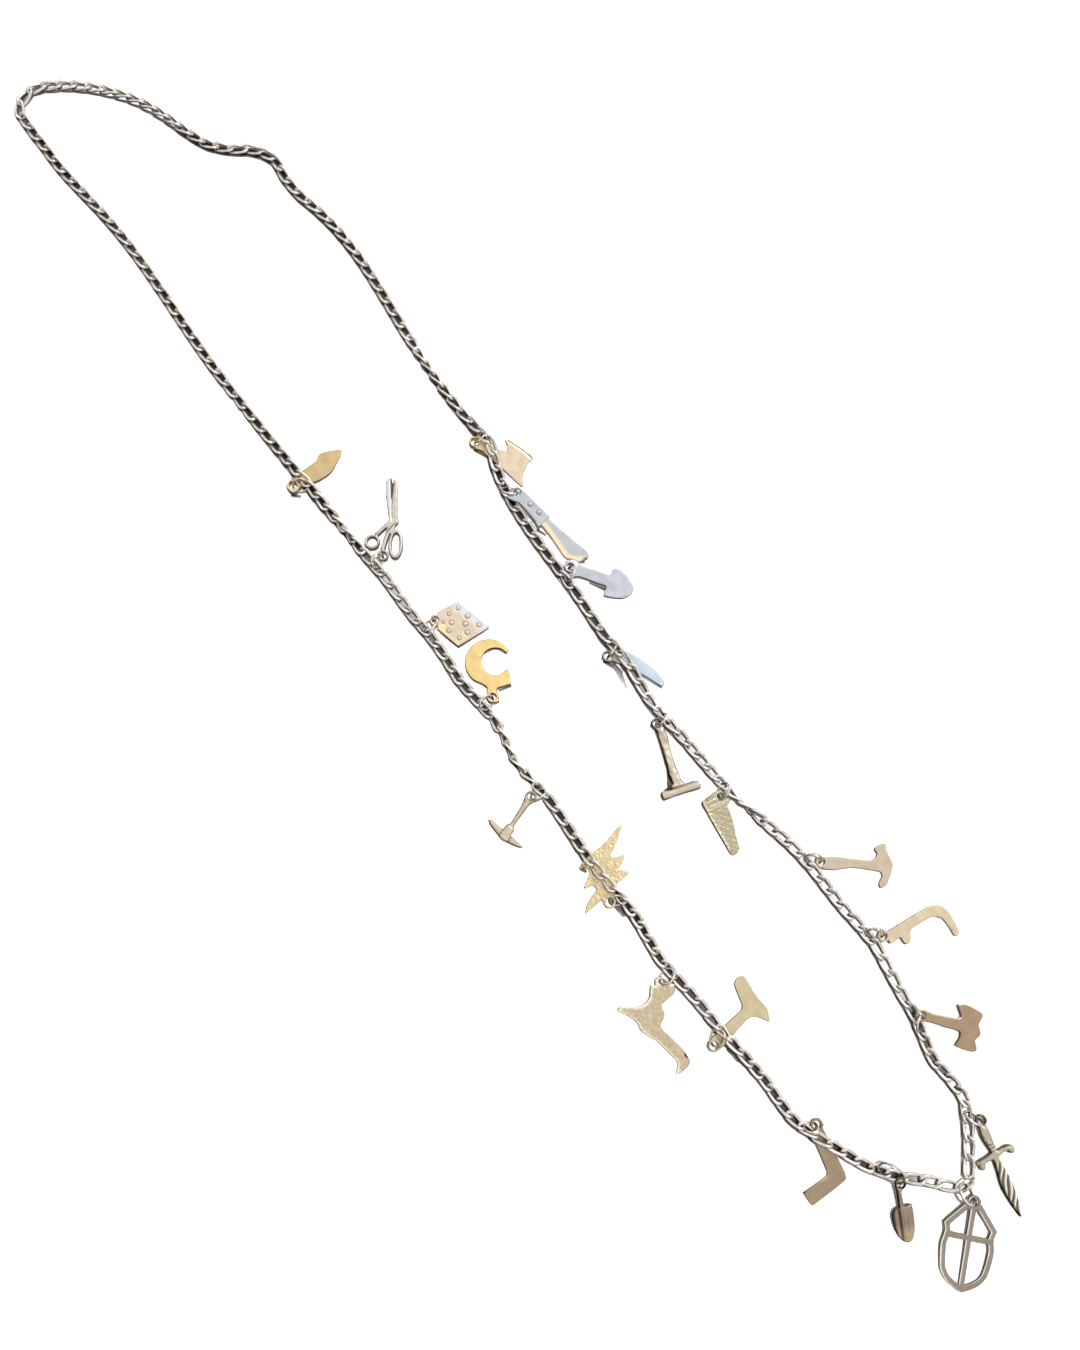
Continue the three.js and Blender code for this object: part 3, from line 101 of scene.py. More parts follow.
# charm: the open link that carries it, its jump ring, its plate
CHARMS = {
    "machete": {
        "link": {"along": [0, 1, 0.002], "side": [-0.8051, 0.0012, -0.5932], "z": 3.16},
        "ring": {"R": 2.078, "centre": [-23.435, 64.962, 1.837], "u": [-0.9014, 0.1591, -0.4026], "w": [-0.0953, 0.8343, 0.543]},
        "plate": {"at": [-25.102, 66.2, 1.769], "dir": [0.9998, -0.02, 0], "slope": 4.575, "t": 0.7, "hole": 1.05, "outline": [[11.53, -3.18], [16.1, -1.13], [17.24, -0.15], [15.85, 0.95], [12.47, 2.63], [11.42, 2.74], [10.38, 2.3], [9.77, 1.74], [5.16, 1.8], [1.6, 1.75], [0.2, 1.7], [-1.4, 1.35], [-1.75, 0.6], [-1.8, -1], [-1.4, -2], [-0.3, -2.2], [1.68, -1.75], [6.52, -3.19], [9.88, -3.54]]},
    },
    "scissors": {
        "link": {"along": [0, 1, -0.002], "side": [0.9995, 0.0001, 0.032], "z": 1.279},
        "ring": {"R": 2.142, "centre": [-20.936, 34.104, 2.215], "u": [0.9345, 0.3471, 0.0796], "w": [-0.2554, 0.4976, 0.829]},
        "plate": {"at": [-18.898, 34.301, 1.585], "dir": [0.6, 0.8, 0], "slope": 2.897, "t": 0.8, "hole": 0.95, "outline": [[-0.12, -4.92], [1.23, -5.5], [2.85, -5.81], [4.5, -5.8], [5.93, -5.47], [6.92, -4.88], [7.32, -4.11], [7.19, -3.68], [8.4, -3.85], [8.88, -4.58], [9.6, -4.88], [10.57, -4.72], [15, -4.95], [20.5, -5.05], [21.9, -4.75], [22.2, -4.1], [20.6, -3.72], [22.6, -3.5], [22.75, -2.8], [21.6, -1.9], [18, -1.65], [14, -1.9], [10.49, -2.11], [9.99, -1.92], [6.56, 2.09], [6.03, 1.63], [6.38, 2.88], [6.17, 3.71], [5.65, 4.4], [4.91, 4.84], [4.06, 4.96], [3.23, 4.74], [2.54, 4.23], [2.11, 3.49], [1.98, 2.64], [2.2, 1.81], [2.71, 1.12], [3.45, 0.69], [4.3, 0.56], [5.14, 0.78], [5.73, 1.22], [8.02, -1.55], [1.8, 0.67], [1.63, 0.19], [1.1, 1.23], [-0.09, 1.65], [-1.23, 1.1], [-1.65, -0.09], [-1.1, -1.23], [0.09, -1.65], [0.71, -1.49], [1.52, -0.61], [6.11, -2.25], [6.08, -2.47], [4.86, -1.94], [3.24, -1.63], [1.58, -1.64], [0.15, -1.96], [-0.84, -2.55], [-1.24, -3.32], [-0.99, -4.15]], "holes": [[[2.9, 2.94], [3.16, 3.56], [3.7, 3.97], [4.37, 4.05], [4.99, 3.78], [5.39, 3.25], [5.47, 2.58], [5.21, 1.96], [4.67, 1.55], [4, 1.47], [3.38, 1.74], [2.98, 2.28]], [[-0.14, -3.42], [0.33, -2.94], [1.53, -2.67], [3.14, -2.68], [4.72, -2.96], [5.85, -3.45], [6.23, -4.01], [5.75, -4.5], [4.55, -4.77], [2.95, -4.76], [1.37, -4.48], [0.24, -3.99]]]},
    },
    "diamond_plate": {
        "link": {"along": [0, 1, 0.002], "side": [1, 0, 0], "z": 1.315},
        "ring": {"R": 2.233, "centre": [-21.885, 10.692, 2.127], "u": [0.9758, -0.2002, 0.0879], "w": [-0.1963, -0.6257, 0.7549]},
        "plate": {"at": [-19.7, 10.8, 1.679], "dir": [0.7557, -0.6549, 0], "slope": 4.786, "t": 0.8, "hole": 0.95, "outline": [[14.8, -1.47], [14.67, -1.07], [6.67, 5.37], [6.25, 5.33], [0.6, 2.19], [0.6, 1.51], [-0.21, 1.64], [-1.31, 1.01], [-1.64, -0.21], [-1.02, -1.3], [-0.44, -1.59], [0.6, -1.51], [0.6, -2.5], [6.21, -7.22], [6.62, -7.19], [14.44, -2.18]]},
    },
    "crescent": {
        "link": {"along": [0, 1, 0.001], "side": [0.9993, 0, 0.038], "z": 1.283},
        "ring": {"R": 2.202, "centre": [-23.872, -15.947, 2.083], "u": [0.9596, 0.2594, 0.1088], "w": [-0.2526, 0.6247, 0.7389]},
        "plate": {"at": [-21.699, -15.9, 1.731], "dir": [0.7071, 0.7071, 0], "slope": 4.535, "t": 0.8, "hole": 0.95, "outline": [[0.92, -1.37], [1.78, -0.8], [2.73, -1.34], [4, -4.78], [8.14, -3.9], [8.23, -3.22], [6.37, -1.24], [6.21, 0.09], [6.47, 1.37], [8.41, 3.55], [9.75, 3.9], [11.13, 3.76], [12.37, 3.14], [13.31, 2.13], [13.82, 0.84], [13.85, -0.54], [13.38, -1.84], [12.48, -2.89], [13.68, -3.28], [14.77, -2.25], [15.59, -1], [16.1, 0.4], [16.28, 1.89], [16.11, 3.37], [15.61, 4.78], [14.8, 6.04], [13.72, 7.07], [12.43, 7.84], [11, 8.29], [9.51, 8.4], [8.03, 8.18], [6.64, 7.62], [5.41, 6.76], [4.45, 5.67], [3.26, 2.73], [2.52, 1.7], [-0.32, 1.62], [-1.38, 0.92], [-1.62, 0.32], [-1.55, -1.18], [-0.88, -1.98]]},
    },
    "pickaxe": {
        "link": {"along": [0, 1, -0.001], "side": [-0.8653, 0.0005, 0.5012], "z": 1.028},
        "ring": {"R": 2.12, "centre": [-29.607, -44.078, 2.283], "u": [-0.9798, 0.1264, 0.1546], "w": [0.0595, -0.5542, 0.8303]},
        "plate": {"at": [-31.401, -43.2, 1.572], "dir": [-0.96, -0.28, 0], "slope": 4.65, "t": 0.8, "hole": 0.95, "outline": [[12, 2.6], [11.85, 1.05], [10.22, 1.15], [9.6, 0.75], [8.5, 0.5], [5, 0.65], [2.4, 0.9], [1.5, 1.1], [0.9, 1.45], [0.14, 1.64], [-1.06, 1.26], [-1.65, 0.14], [-1.27, -1.06], [-0.14, -1.64], [1.1, -1.4], [2.6, -1], [5, -0.85], [8.5, -0.75], [9.4, -0.9], [9.5, -1.45], [11.5, -1.65], [11.4, -3.2], [11, -5.6], [11.5, -6.5], [12.5, -5], [13.5, -2.2], [14, -0.5], [13.9, 1], [13.6, 3.5], [12.9, 5.75], [12.5, 5]]},
    },
    "burst_plate": {
        "link": {"along": [0, 1, -0.002], "side": [-0.7221, -0.0014, -0.6918], "z": 3.095},
        "ring": {"R": 1.85, "centre": [-32.286, -79.015, 1.77], "u": [-0.8358, 0, -0.5491], "w": [-0.31, 0.8253, 0.4719]},
        "plate": {"at": [-33.9, -78.2, 1.377], "dir": [0.1961, 0.9806, 0], "slope": 3.491, "t": 0.7, "hole": 1.05, "outline": [[-0.67, -1.62], [0.6, -1.63], [0.6, -1.94], [2.48, -1.65], [3.18, -4.16], [3.99, -8.69], [5.48, -7.47], [6.46, -6.26], [7.54, -8.59], [8.92, -9.85], [9.45, -7.39], [10.59, -6.45], [12.59, -9.32], [16.14, -13.25], [16.06, -11.58], [14.52, -7.2], [12.97, 0.55], [12.16, 2.53], [11.47, 2.39], [10.63, 0.49], [9.12, 0.9], [6.48, 4.35], [6.03, 1.51], [4.56, 1.22], [2.79, 4.94], [0.6, 7.32], [0.6, 5.97], [1.61, 1.65], [0.81, 1.53], [0, 1.75], [-1.24, 1.24], [-1.75, 0], [-1.62, -0.67]]},
    },
    "notched_plate": {
        "link": {"along": [0, 1, 0.003], "side": [-1, 0, 0.003], "z": 1.312},
        "ring": {"R": 2.209, "centre": [-35.311, -102.55, 2.08], "u": [-0.9533, -0.276, 0.1225], "w": [0.2738, -0.6187, 0.7364]},
        "plate": {"at": [-37.5, -102.7, 1.826], "dir": [-0.6, -0.8, 0], "slope": 3.32, "t": 0.8, "hole": 0.95, "outline": [[21.51, 5.75], [20.52, 6.04], [17.04, 4.06], [12.13, -0.51], [11, -1.09], [8.66, 0.29], [7.45, 0.17], [6.49, -0.29], [5.55, -0.22], [3.61, 2.49], [2.63, 3.32], [1.52, 3.54], [0.6, 3.29], [0.6, 1.53], [-0.09, 1.65], [-1.23, 1.1], [-1.65, -0.09], [-1.1, -1.23], [-0.55, -1.56], [0.6, -1.52], [0.6, -2.83], [3.53, -3.3], [4.87, -4.38], [5.58, -5.67], [5.78, -7.33], [5.28, -10.83], [5.66, -11.49], [6.32, -11.88], [6.83, -11.5], [7.66, -9.84], [8.95, -8.08], [10.17, -6.91], [11.83, -6.36], [14.05, -3.75], [15, -2.25], [20.52, 2.55], [21.98, 2.71], [23.23, 2.08], [23.83, 2.12], [23.87, 2.82], [22.81, 4.37]]},
    },
    "adze": {
        "link": {"along": [0, 0.9553, -0.2955], "side": [-0.7478, 0.1962, 0.6342], "z": 3.15},
        "ring": {"R": 2.276, "centre": [-35.7, -122.982, 1.957], "u": [-0.9212, -0.1535, -0.3575], "w": [-0.098, -0.7976, 0.5952]},
        "plate": {"at": [-37.763, -123.877, 1.603], "dir": [1, 0, 0], "slope": 3.823, "t": 0.7, "hole": 1.05, "outline": [[16.97, -2.5], [17.18, -1.04], [17.09, 1.05], [17.3, 3.55], [18.13, 7.3], [18.01, 8.13], [16.97, 8.63], [15.51, 8.63], [14.47, 7.92], [12.58, 2.63], [11.54, 1.88], [0.6, 1.88], [0.6, 1.61], [-0.34, 1.72], [-1.46, 0.97], [-1.72, -0.34], [-0.97, -1.46], [-0.34, -1.72], [3.19, -1.66], [10.29, -0.95], [12.17, -1.04], [13.41, -2.08], [14.25, -3.33], [14.8, -4.79], [15.3, -5.29]]},
    },
    "carpenters_square": {
        "link": {"along": [0.2588, -0.9659, -0.003], "side": [0.7697, 0.2081, -0.6036], "z": 3.024},
        "ring": {"R": 1.856, "centre": [-32.504, -155.469, 1.928], "u": [0.8527, -0.2436, -0.4621], "w": [0.146, -0.7382, 0.6586]},
        "plate": {"at": [-30.9, -156.2, 1.347], "dir": [-0.2873, -0.9578, 0], "slope": 3.07, "t": 0.7, "hole": 1.05, "outline": [[14.96, 1.29], [13.38, 1.47], [1.34, 1.07], [0.51, 1.67], [-0.82, 1.55], [-1.35, 1.11], [-1.74, -0.17], [-1.55, -0.82], [-0.51, -1.67], [0.6, -1.61], [0.6, -2.32], [11.8, -2.71], [12.5, -3.15], [12.81, -3.92], [13.88, -10.65], [17.48, -10.01], [17.8, -9.61], [15.59, 0.61]]},
    },
    "shovel": {
        "link": {"along": [0.5, -0.866, -0.001], "side": [-0.8629, -0.4983, 0.0839], "z": 1.155},
        "ring": {"R": 3.494, "centre": [-24.664, -177.045, 3.236], "u": [0.3108, -0.9152, 0.2566], "w": [0.5184, 0.3895, 0.7613]},
        "plate": {"at": [-24.6, -180.5, 2.72], "dir": [-0.507, -0.8619, 0], "slope": 8.683, "t": 0.8, "hole": 0.95, "outline": [[13.65, 1], [11.52, 1.65], [8.64, 1.95], [6.04, 1.95], [5.55, 1.75], [5.6, -0.1], [2, -0.15], [1.5, 0.5], [0.73, 1.49], [-0.55, 1.56], [-1.11, 1.23], [-1.67, 0.09], [-1.58, -0.54], [-0.73, -1.49], [0.55, -1.56], [1.5, -1.45], [5.8, -1.6], [6.1, -2.6], [7.12, -3.5], [8.5, -3.75], [11, -3.6], [13.34, -2.85], [14.77, -1.8], [15.18, -0.7], [14.75, 0.2]]},
    },
    "shield": {
        "link": {"along": [0.9961, -0.0872, 0.011], "side": [-0.0861, -0.9431, 0.3212], "z": 1.158},
        "ring": {"R": 2.7, "centre": [-13.417, -193.77, 2.629], "u": [-0.274, -0.9425, 0.1914], "w": [-0.5837, 0.3211, 0.7458], "wire": 0.42},
        "plate": {"at": [-13.25, -196.401, 2.047], "dir": [-0.7877, -0.616, 0], "slope": 4.15, "t": 0.7, "hole": 1.05, "outline": [[17.44, 6.2], [11.83, 6.9], [8.42, 6.4], [6.22, 6.9], [0.5, 2], [0.5, 1.64], [-0.47, 1.69], [-1.53, 0.86], [-1.69, -0.47], [-0.87, -1.52], [-0.22, -1.74], [0.5, -1.67], [0.5, -2], [6.22, -6.9], [8.42, -6.4], [11.83, -6.9], [17.44, -6.2], [19.45, -5.2], [20.95, -3.7], [22.26, -1.5], [22.86, 0], [22.26, 1.5], [20.95, 3.7], [19.45, 5.2]], "holes": [[[8.47, -4.89], [6.62, -5.27], [2, -1.31], [2, -0.75], [8.47, -0.75]], [[8.47, 0.75], [2, 0.75], [2, 1.31], [6.62, 5.27], [8.47, 4.89]], [[19.76, -2.77], [18.56, -3.97], [17.01, -4.74], [11.84, -5.39], [9.88, -5.1], [9.88, -0.75], [20.94, -0.75]], [[19.76, 2.77], [20.94, 0.75], [9.88, 0.75], [9.88, 5.1], [11.84, 5.39], [17.01, 4.74], [18.56, 3.97]]]},
    },
    "dagger": {
        "link": {"along": [0.5736, 0.8191, -0.008], "side": [0.8186, -0.5728, 0.042], "z": 1.298},
        "ring": {"R": 2.367, "centre": [0.815, -181.285, 2.566], "u": [0.3227, -0.9432, 0.0789], "w": [-0.4327, -0.0728, 0.8986]},
        "plate": {"at": [2, -183.101, 1.617], "dir": [-0.3312, -0.9435, 0], "slope": 2.595, "t": 0.8, "hole": 0.95, "outline": [[25.6, 0.3], [23.4, 0.8], [20, 1.2], [16.6, 1.35], [13.15, 0.95], [11, 0.65], [10, 0.75], [9.6, 1.9], [9.35, 3.2], [10.2, 3.6], [10.55, 4.3], [10.2, 5], [9.5, 5.25], [8.8, 5.1], [8.3, 4.6], [8.05, 3.6], [8.2, 2], [8.35, 1.1], [7.7, 0.85], [3.24, 1], [1.5, 0.75], [0.99, 1.32], [0.41, 1.6], [-0.84, 1.42], [-1.6, 0.41], [-1.42, -0.84], [-0.41, -1.6], [0.84, -1.42], [1.9, -1.45], [3.5, -1.7], [5.59, -1.5], [8.3, -0.95], [8.75, -2.8], [8.95, -4.4], [9.3, -5.1], [10.2, -5.3], [11.2, -5.2], [11.75, -4.6], [11.6, -3.9], [11, -3.55], [10.25, -3.2], [10.1, -1.3], [11, -1.25], [13.5, -1.5], [17, -1.95], [20.5, -1.6], [23.5, -1], [25.7, -0.4], [25.95, 0]]},
    },
    "double_axe": {
        "link": {"along": [0.342, 0.9396, -0.011], "side": [0.9371, -0.3401, 0.0789], "z": 1.15},
        "ring": {"R": 2.161, "centre": [6.916, -154.995, 2.238], "u": [0.6183, 0.6956, 0.3657], "w": [-0.647, 0.1864, 0.7394]},
        "plate": {"at": [8.5, -153.6, 2.7], "dir": [0.4907, -0.8713, 0], "slope": 7.888, "t": 0.7, "hole": 1.05, "outline": [[16.89, -3.2], [15.76, -1.38], [16.69, 0.25], [16.63, 1.01], [15.42, 2.87], [16, 5.42], [15.37, 6.01], [11.82, 6.56], [9.26, 6.31], [8.48, 5.79], [10.36, 3.31], [9.83, 2.64], [2.72, 1.59], [-0.13, 1.74], [-1.34, 1.14], [-1.68, 0.54], [-1.58, -0.79], [-1.15, -1.33], [0.13, -1.74], [1.35, -1.12], [5.06, -0.66], [7.69, -0.71], [10.25, -0.46], [11.33, -0.67], [11.59, -1.92], [10.9, -4.41], [15.69, -4.45], [16.87, -3.91]]},
    },
    "sickle": {
        "link": {"along": [0.0349, 0.9994, 0.001], "side": [0.9994, -0.0349, -0.003], "z": 1.247},
        "ring": {"R": 2.246, "centre": [13.99, -130.419, 2.212], "u": [0.7147, -0.6909, 0.1085], "w": [0.3644, 0.5003, 0.7854]},
        "plate": {"at": [15.1, -132.3, 1.689], "dir": [0.9701, -0.2425, 0], "slope": 3.755, "t": 0.8, "hole": 0.95, "outline": [[18.91, -7.68], [18.89, -2.97], [18.49, -1.35], [17.6, 0.14], [15.87, 1], [13.89, 1.16], [1.54, 0.52], [1.11, 1.22], [0.56, 1.55], [-0.71, 1.49], [-1.56, 0.56], [-1.5, -0.7], [-0.56, -1.55], [0.6, -1.52], [0.6, -2.5], [1.34, -2.84], [3.16, -2.39], [3.94, -2.4], [4.05, -3.88], [4.53, -4.75], [5.47, -4.73], [6.3, -3.75], [6.85, -2.54], [7.77, -1.87], [12.43, -1.57], [14.4, -1.73], [15.67, -2.48], [16.46, -3.57], [16.88, -5.61], [16.99, -8.6], [17.53, -9.02], [18.36, -8.9]]},
    },
    "claw_hammer": {
        "link": {"along": [0, 1, 0.006], "side": [1, 0, 0.002], "z": 1.26},
        "ring": {"R": 2.168, "centre": [14.85, -105.337, 2.109], "u": [0.6781, -0.7249, 0.1214], "w": [0.4032, 0.505, 0.7631]},
        "plate": {"at": [15.899, -107.199, 1.75], "dir": [0.7071, -0.7071, 0], "slope": 3.857, "t": 0.8, "hole": 0.95, "outline": [[19.28, -0.82], [19.42, 0.81], [17.56, 4.54], [17.41, 5.87], [16.97, 6.31], [15.64, 5.75], [14.37, 4.78], [14.31, 4.25], [15.08, 3.25], [14.84, 2.42], [13.86, 1.63], [12.33, 1.39], [3.18, 1.68], [0.86, 1.4], [-0.32, 1.62], [-1.38, 0.92], [-1.62, -0.32], [-0.92, -1.37], [-0.32, -1.62], [0.6, -1.5], [0.6, -1.85], [3.77, -1.85], [8.79, -0.96], [15.43, -1.41], [16.32, -1.7], [16.61, -2.59], [15.73, -4.65], [16.11, -5.73], [16.61, -5.83], [17.95, -5.09]]},
    },
    "hand_saw": {
        "link": {"along": [0, 1, 0.002], "side": [-0.8419, -0.0011, 0.5396], "z": 1.309},
        "ring": {"R": 2.14, "centre": [8.942, -75.894, 2.218], "u": [-0.843, -0.5339, 0.0651], "w": [0.3437, -0.4416, 0.8287]},
        "plate": {"at": [6.998, -76.501, 1.559], "dir": [-0.4061, -0.9138, 0], "slope": 3.957, "t": 0.8, "hole": 0.95, "outline": [[14.9, 0.95], [11, 1.15], [6.24, 1.5], [3.8, 1.3], [2.6, 1.35], [2.2, 2.3], [0.75, 2.3], [0.6, 1.52], [-0.36, 1.61], [-1.2, 1.2], [-1.65, 0.3], [-1.65, -0.6], [-1.3, -1.7], [-0.1, -4.9], [0.6, -5.1], [3.44, -4.5], [14.76, -2.1], [15.91, -1.66], [16.15, -0.86], [15.7, 0.3]]},
    },
    "sledge_hammer": {
        "link": {"along": [0, 1, -0.003], "side": [-0.5529, 0.0025, 0.8333], "z": 1.418},
        "ring": {"R": 1.85, "centre": [9.12, -50.532, 2.426], "u": [-0.9535, -0.2825, 0.105], "w": [0.2172, -0.4022, 0.8894]},
        "plate": {"at": [7.399, -50.6, 1.752], "dir": [-0.4472, -0.8944, 0], "slope": 2.065, "t": 0.8, "hole": 0.95, "outline": [[19.02, 7.38], [18.08, 7.02], [17.5, 5.95], [17.68, 3.35], [16.42, 2.51], [7.96, 1.74], [4.61, 1.97], [1.12, 1.57], [1.13, 1.23], [0.84, 1.48], [-0.44, 1.59], [-1.43, 0.82], [-1.64, 0.21], [-1.3, -1.01], [-0.21, -1.64], [0.44, -1.59], [1.38, -0.95], [5.91, -0.63], [14.68, -0.49], [16.83, -0.09], [18.35, -3.69], [19.6, -4.07], [20.27, -3.29], [20.05, 6.66]], "extra": [[19.42, -3.49, 18.79, 6.71, 1]]},
    },
    "knife": {
        "link": {"along": [0, 1, 0.003], "side": [-1, 0, 0.003], "z": 2.627},
        "ring": {"R": 1.85, "centre": [11.268, -27.705, 2.265], "u": [-0.919, -0.1641, -0.3585], "w": [-0.3216, -0.214, 0.9224]},
        "plate": {"at": [9.694, -27.937, 1.32], "dir": [0.361, -0.9326, 0], "slope": 3.07, "t": 0.7, "hole": 1.05, "outline": [[16.62, 1.37], [14.36, 2.47], [12.38, 3.14], [7.29, 3.86], [5.04, 3.83], [3.57, 3.5], [0.6, 2.33], [0.6, 1.61], [-0.38, 1.71], [-1.48, 0.94], [-1.73, 0.3], [-1.43, -1.01], [-0.3, -1.72], [1.01, -1.43], [1.54, -0.77], [4.85, -0.12], [11.13, -0.09], [16.79, -0.49], [17.29, 0.21]]},
    },
    "spade": {
        "link": {"along": [0.0872, 0.9962, -0.001], "side": [0.8009, -0.0695, 0.5948], "z": 1.364},
        "ring": {"R": 2.142, "centre": [16.825, -3.656, 2.204], "u": [0.8502, 0.5211, 0.0756], "w": [0.2404, -0.5118, 0.8248]},
        "plate": {"at": [18.3, -2.2, 1.662], "dir": [0.507, -0.8619, 0], "slope": 3.731, "t": 0.8, "hole": 0.95, "outline": [[18.64, 0.12], [17.51, 1.51], [15.86, 2.81], [13.97, 3.72], [12.16, 3.92], [11.37, 3.42], [11.39, 2.2], [10.96, 1.48], [3.66, 1.43], [2.4, 1.75], [1.2, 2.15], [0, 2.15], [-1.2, 1.7], [-1.7, 0.6], [-1.6, -0.5], [-1.2, -1.15], [-0.54, -1.56], [0.6, -1.55], [0.6, -2.66], [2, -2.2], [3.54, -1.75], [8.77, -1.82], [11.02, -1.75], [11.36, -2.37], [11.18, -3.48], [11.36, -4.5], [12.05, -4.6], [16.13, -3.8], [17.69, -2.71], [18.72, -1.38]]},
    },
    "cleaver": {
        "link": {"along": [0.2588, 0.9659, 0], "side": [0.9437, -0.2529, 0.2133], "z": 1.147},
        "ring": {"R": 2.253, "centre": [19.709, 25.287, 2.411], "u": [0.3373, -0.8673, 0.3661], "w": [-0.6986, 0.0301, 0.7148]},
        "plate": {"at": [20.9, 23.4, 2.723], "dir": [0.0995, -0.995, 0], "slope": 4.835, "t": 0.8, "hole": 0.95, "outline": [[26.65, 1.16], [25.26, 1.55], [20, 1.3], [15, 1], [11.6, 0.95], [11.1, 1.45], [6, 1.6], [0.6, 1.75], [-0.5, 1.55], [-1.2, 1], [-1.55, 0], [-1.4, -1.2], [-1.3, -3.1], [-0.9, -3.2], [0.8, -2.6], [2.7, -1.9], [8.7, -2.4], [10.8, -3.1], [11.25, -2.75], [11.35, -1.9], [15.5, -2.5], [19, -3.3], [22.2, -3.95], [23.6, -3.5], [25.6, -2.5], [26.8, -1], [27.05, 0.4]]},
    },
    "axe": {
        "link": {"along": [0.0341, 0.9755, -0.2173], "side": [-0.9377, -0.044, -0.3448], "z": 3.145},
        "ring": {"R": 1.85, "centre": [23.549, 42.572, 2.002], "u": [-0.8475, 0.1569, -0.507], "w": [-0.5137, -0.4831, 0.709]},
        "plate": {"at": [21.845, 42.71, 1.295], "dir": [0.4472, -0.8944, 0], "slope": 2.952, "t": 0.7, "hole": 1.05, "outline": [[16.38, -3.9], [16.19, 0.38], [17.01, 1.83], [16.38, 2.62], [8.17, 4.39], [7.52, 4.01], [8.82, 2.43], [9.27, 1.27], [7.98, 0.75], [6.58, 0.76], [0.6, 2.09], [0.6, 1.62], [-0.22, 1.74], [-1.38, 1.07], [-1.69, 0.46], [-1.52, -0.87], [-0.46, -1.69], [0.6, -1.61], [0.6, -1.96], [3.6, -1.95], [17.03, -6.79], [17.5, -6.33]]},
    },
}

# how many links lie between a charm and the next one along the route
COUNTS = {"machete": 8, "scissors": 5, "diamond_plate": 7, "crescent": 6, "pickaxe": 8, "burst_plate": 6, "notched_plate": 5,
          "adze": 8, "carpenters_square": 5, "shovel": 5, "shield": 4, "dagger": 6, "double_axe": 6, "sickle": 6,
          "claw_hammer": 7, "hand_saw": 6, "sledge_hammer": 5, "knife": 5, "spade": 7, "cleaver": 4, "axe": 77}

STRETCHES = [
    ("chain_left_neck_end", None, "left_sway_9"), ("chain_left_neck", "left_sway_9", "left_lift_8"),
    ("chain_left_chest_upper", "left_lift_8", "left_sway_7"), ("chain_left_chest", "left_sway_7", "left_lift_6"),
    ("chain_left_middle_upper", "left_lift_6", "left_sway_5"), ("chain_left_middle", "left_sway_5", "left_lift_4"),
    ("chain_left_lower_upper", "left_lift_4", "left_sway_3"), ("chain_left_lower", "left_sway_3", "left_lift_2"),
    ("chain_left_bottom", "left_lift_2", "left_sway_1"), ("chain_bottom", "left_sway_1", "right_sway_1"),
    ("chain_right_bottom", "right_sway_1", "right_lift_2"), ("chain_right_lower", "right_lift_2", "right_sway_3"),
    ("chain_right_middle", "right_sway_3", "right_lift_4"), ("chain_right_middle_upper", "right_lift_4", "right_sway_5"),
    ("chain_right_chest", "right_sway_5", "right_lift_6"), ("chain_right_chest_upper", "right_lift_6", "right_sway_7"),
    ("chain_right_neck", "right_sway_7", "right_lift_8"), ("chain_right_neck_end", "right_lift_8", None)]


def unit(v):
    v = np.asarray(v, float)
    return v / np.linalg.norm(v)


# ------------------------------------------------------------------ the chain's centre line
def centripetal(P, per):
    """Closed centripetal Catmull-Rom curve through P, per points on each span."""
    n, out = len(P), []
    t = np.linspace(0, 1, per, endpoint=False)[:, None]
    for i in range(n):
        x0, x1, x2, x3 = P[(i - 1) % n], P[i], P[(i + 1) % n], P[(i + 2) % n]
        d0, d1, d2 = (math.sqrt(np.linalg.norm(b - a)) for a, b in ((x0, x1), (x1, x2), (x2, x3)))
        t1 = ((x1 - x0) / d0 - (x2 - x0) / (d0 + d1) + (x2 - x1) / d1) * d1
        t2 = ((x2 - x1) / d1 - (x3 - x1) / (d1 + d2) + (x3 - x2) / d2) * d1
        out.append(x1 + t1 * t + (-3 * x1 + 3 * x2 - 2 * t1 - t2) * t**2 + (2 * x1 - 2 * x2 + t1 + t2) * t**3)
    return np.concatenate(out)


PER = 60
LINE = centripetal(np.array([r[:3] for r in ROUTE], float), PER)
STEPS = np.linalg.norm(np.diff(np.vstack([LINE, LINE[:1]]), axis=0), axis=1)
ARC = np.concatenate([[0], np.cumsum(STEPS)])
TOTAL = ARC[-1]
LOOPED = np.vstack([LINE, LINE[:1]])
MARK = {r[3]: ARC[i * PER] for i, r in enumerate(ROUTE) if len(r) > 3}


def at(s):
    s = s % TOTAL
    return np.array([np.interp(s, ARC, LOOPED[:, k]) for k in range(3)])


def nearest(p):
    return ARC[np.linalg.norm(LINE - p, axis=1).argmin()]


JOINT_AT = {j["name"]: nearest(np.array(j["pos_m"]) / MM - SHIFT) for j in frame["joints"] if j["name"].startswith(("left_", "right_"))}


# ------------------------------------------------------------------ mesh helpers
def mesh_object(name, verts, faces, matrix=None, floats=None, smooth=True):
    """An object from points in millimetres. floats: named numbers, one for each point."""
    me = bpy.data.meshes.new(name)
    me.from_pydata([tuple(v) for v in np.asarray(verts, float) * MM], [], faces)
    me.update()
    for k, values in (floats or {}).items():
        a = me.attributes.new(k, "FLOAT", "POINT")
        a.data.foreach_set("value", np.asarray(values, np.float32))
    if smooth:
        me.polygons.foreach_set("use_smooth", [True] * len(me.polygons))
    ob = bpy.data.objects.new(name, me)
    bpy.context.scene.collection.objects.link(ob)
    if matrix is not None:
        ob.matrix_world = matrix
    return ob


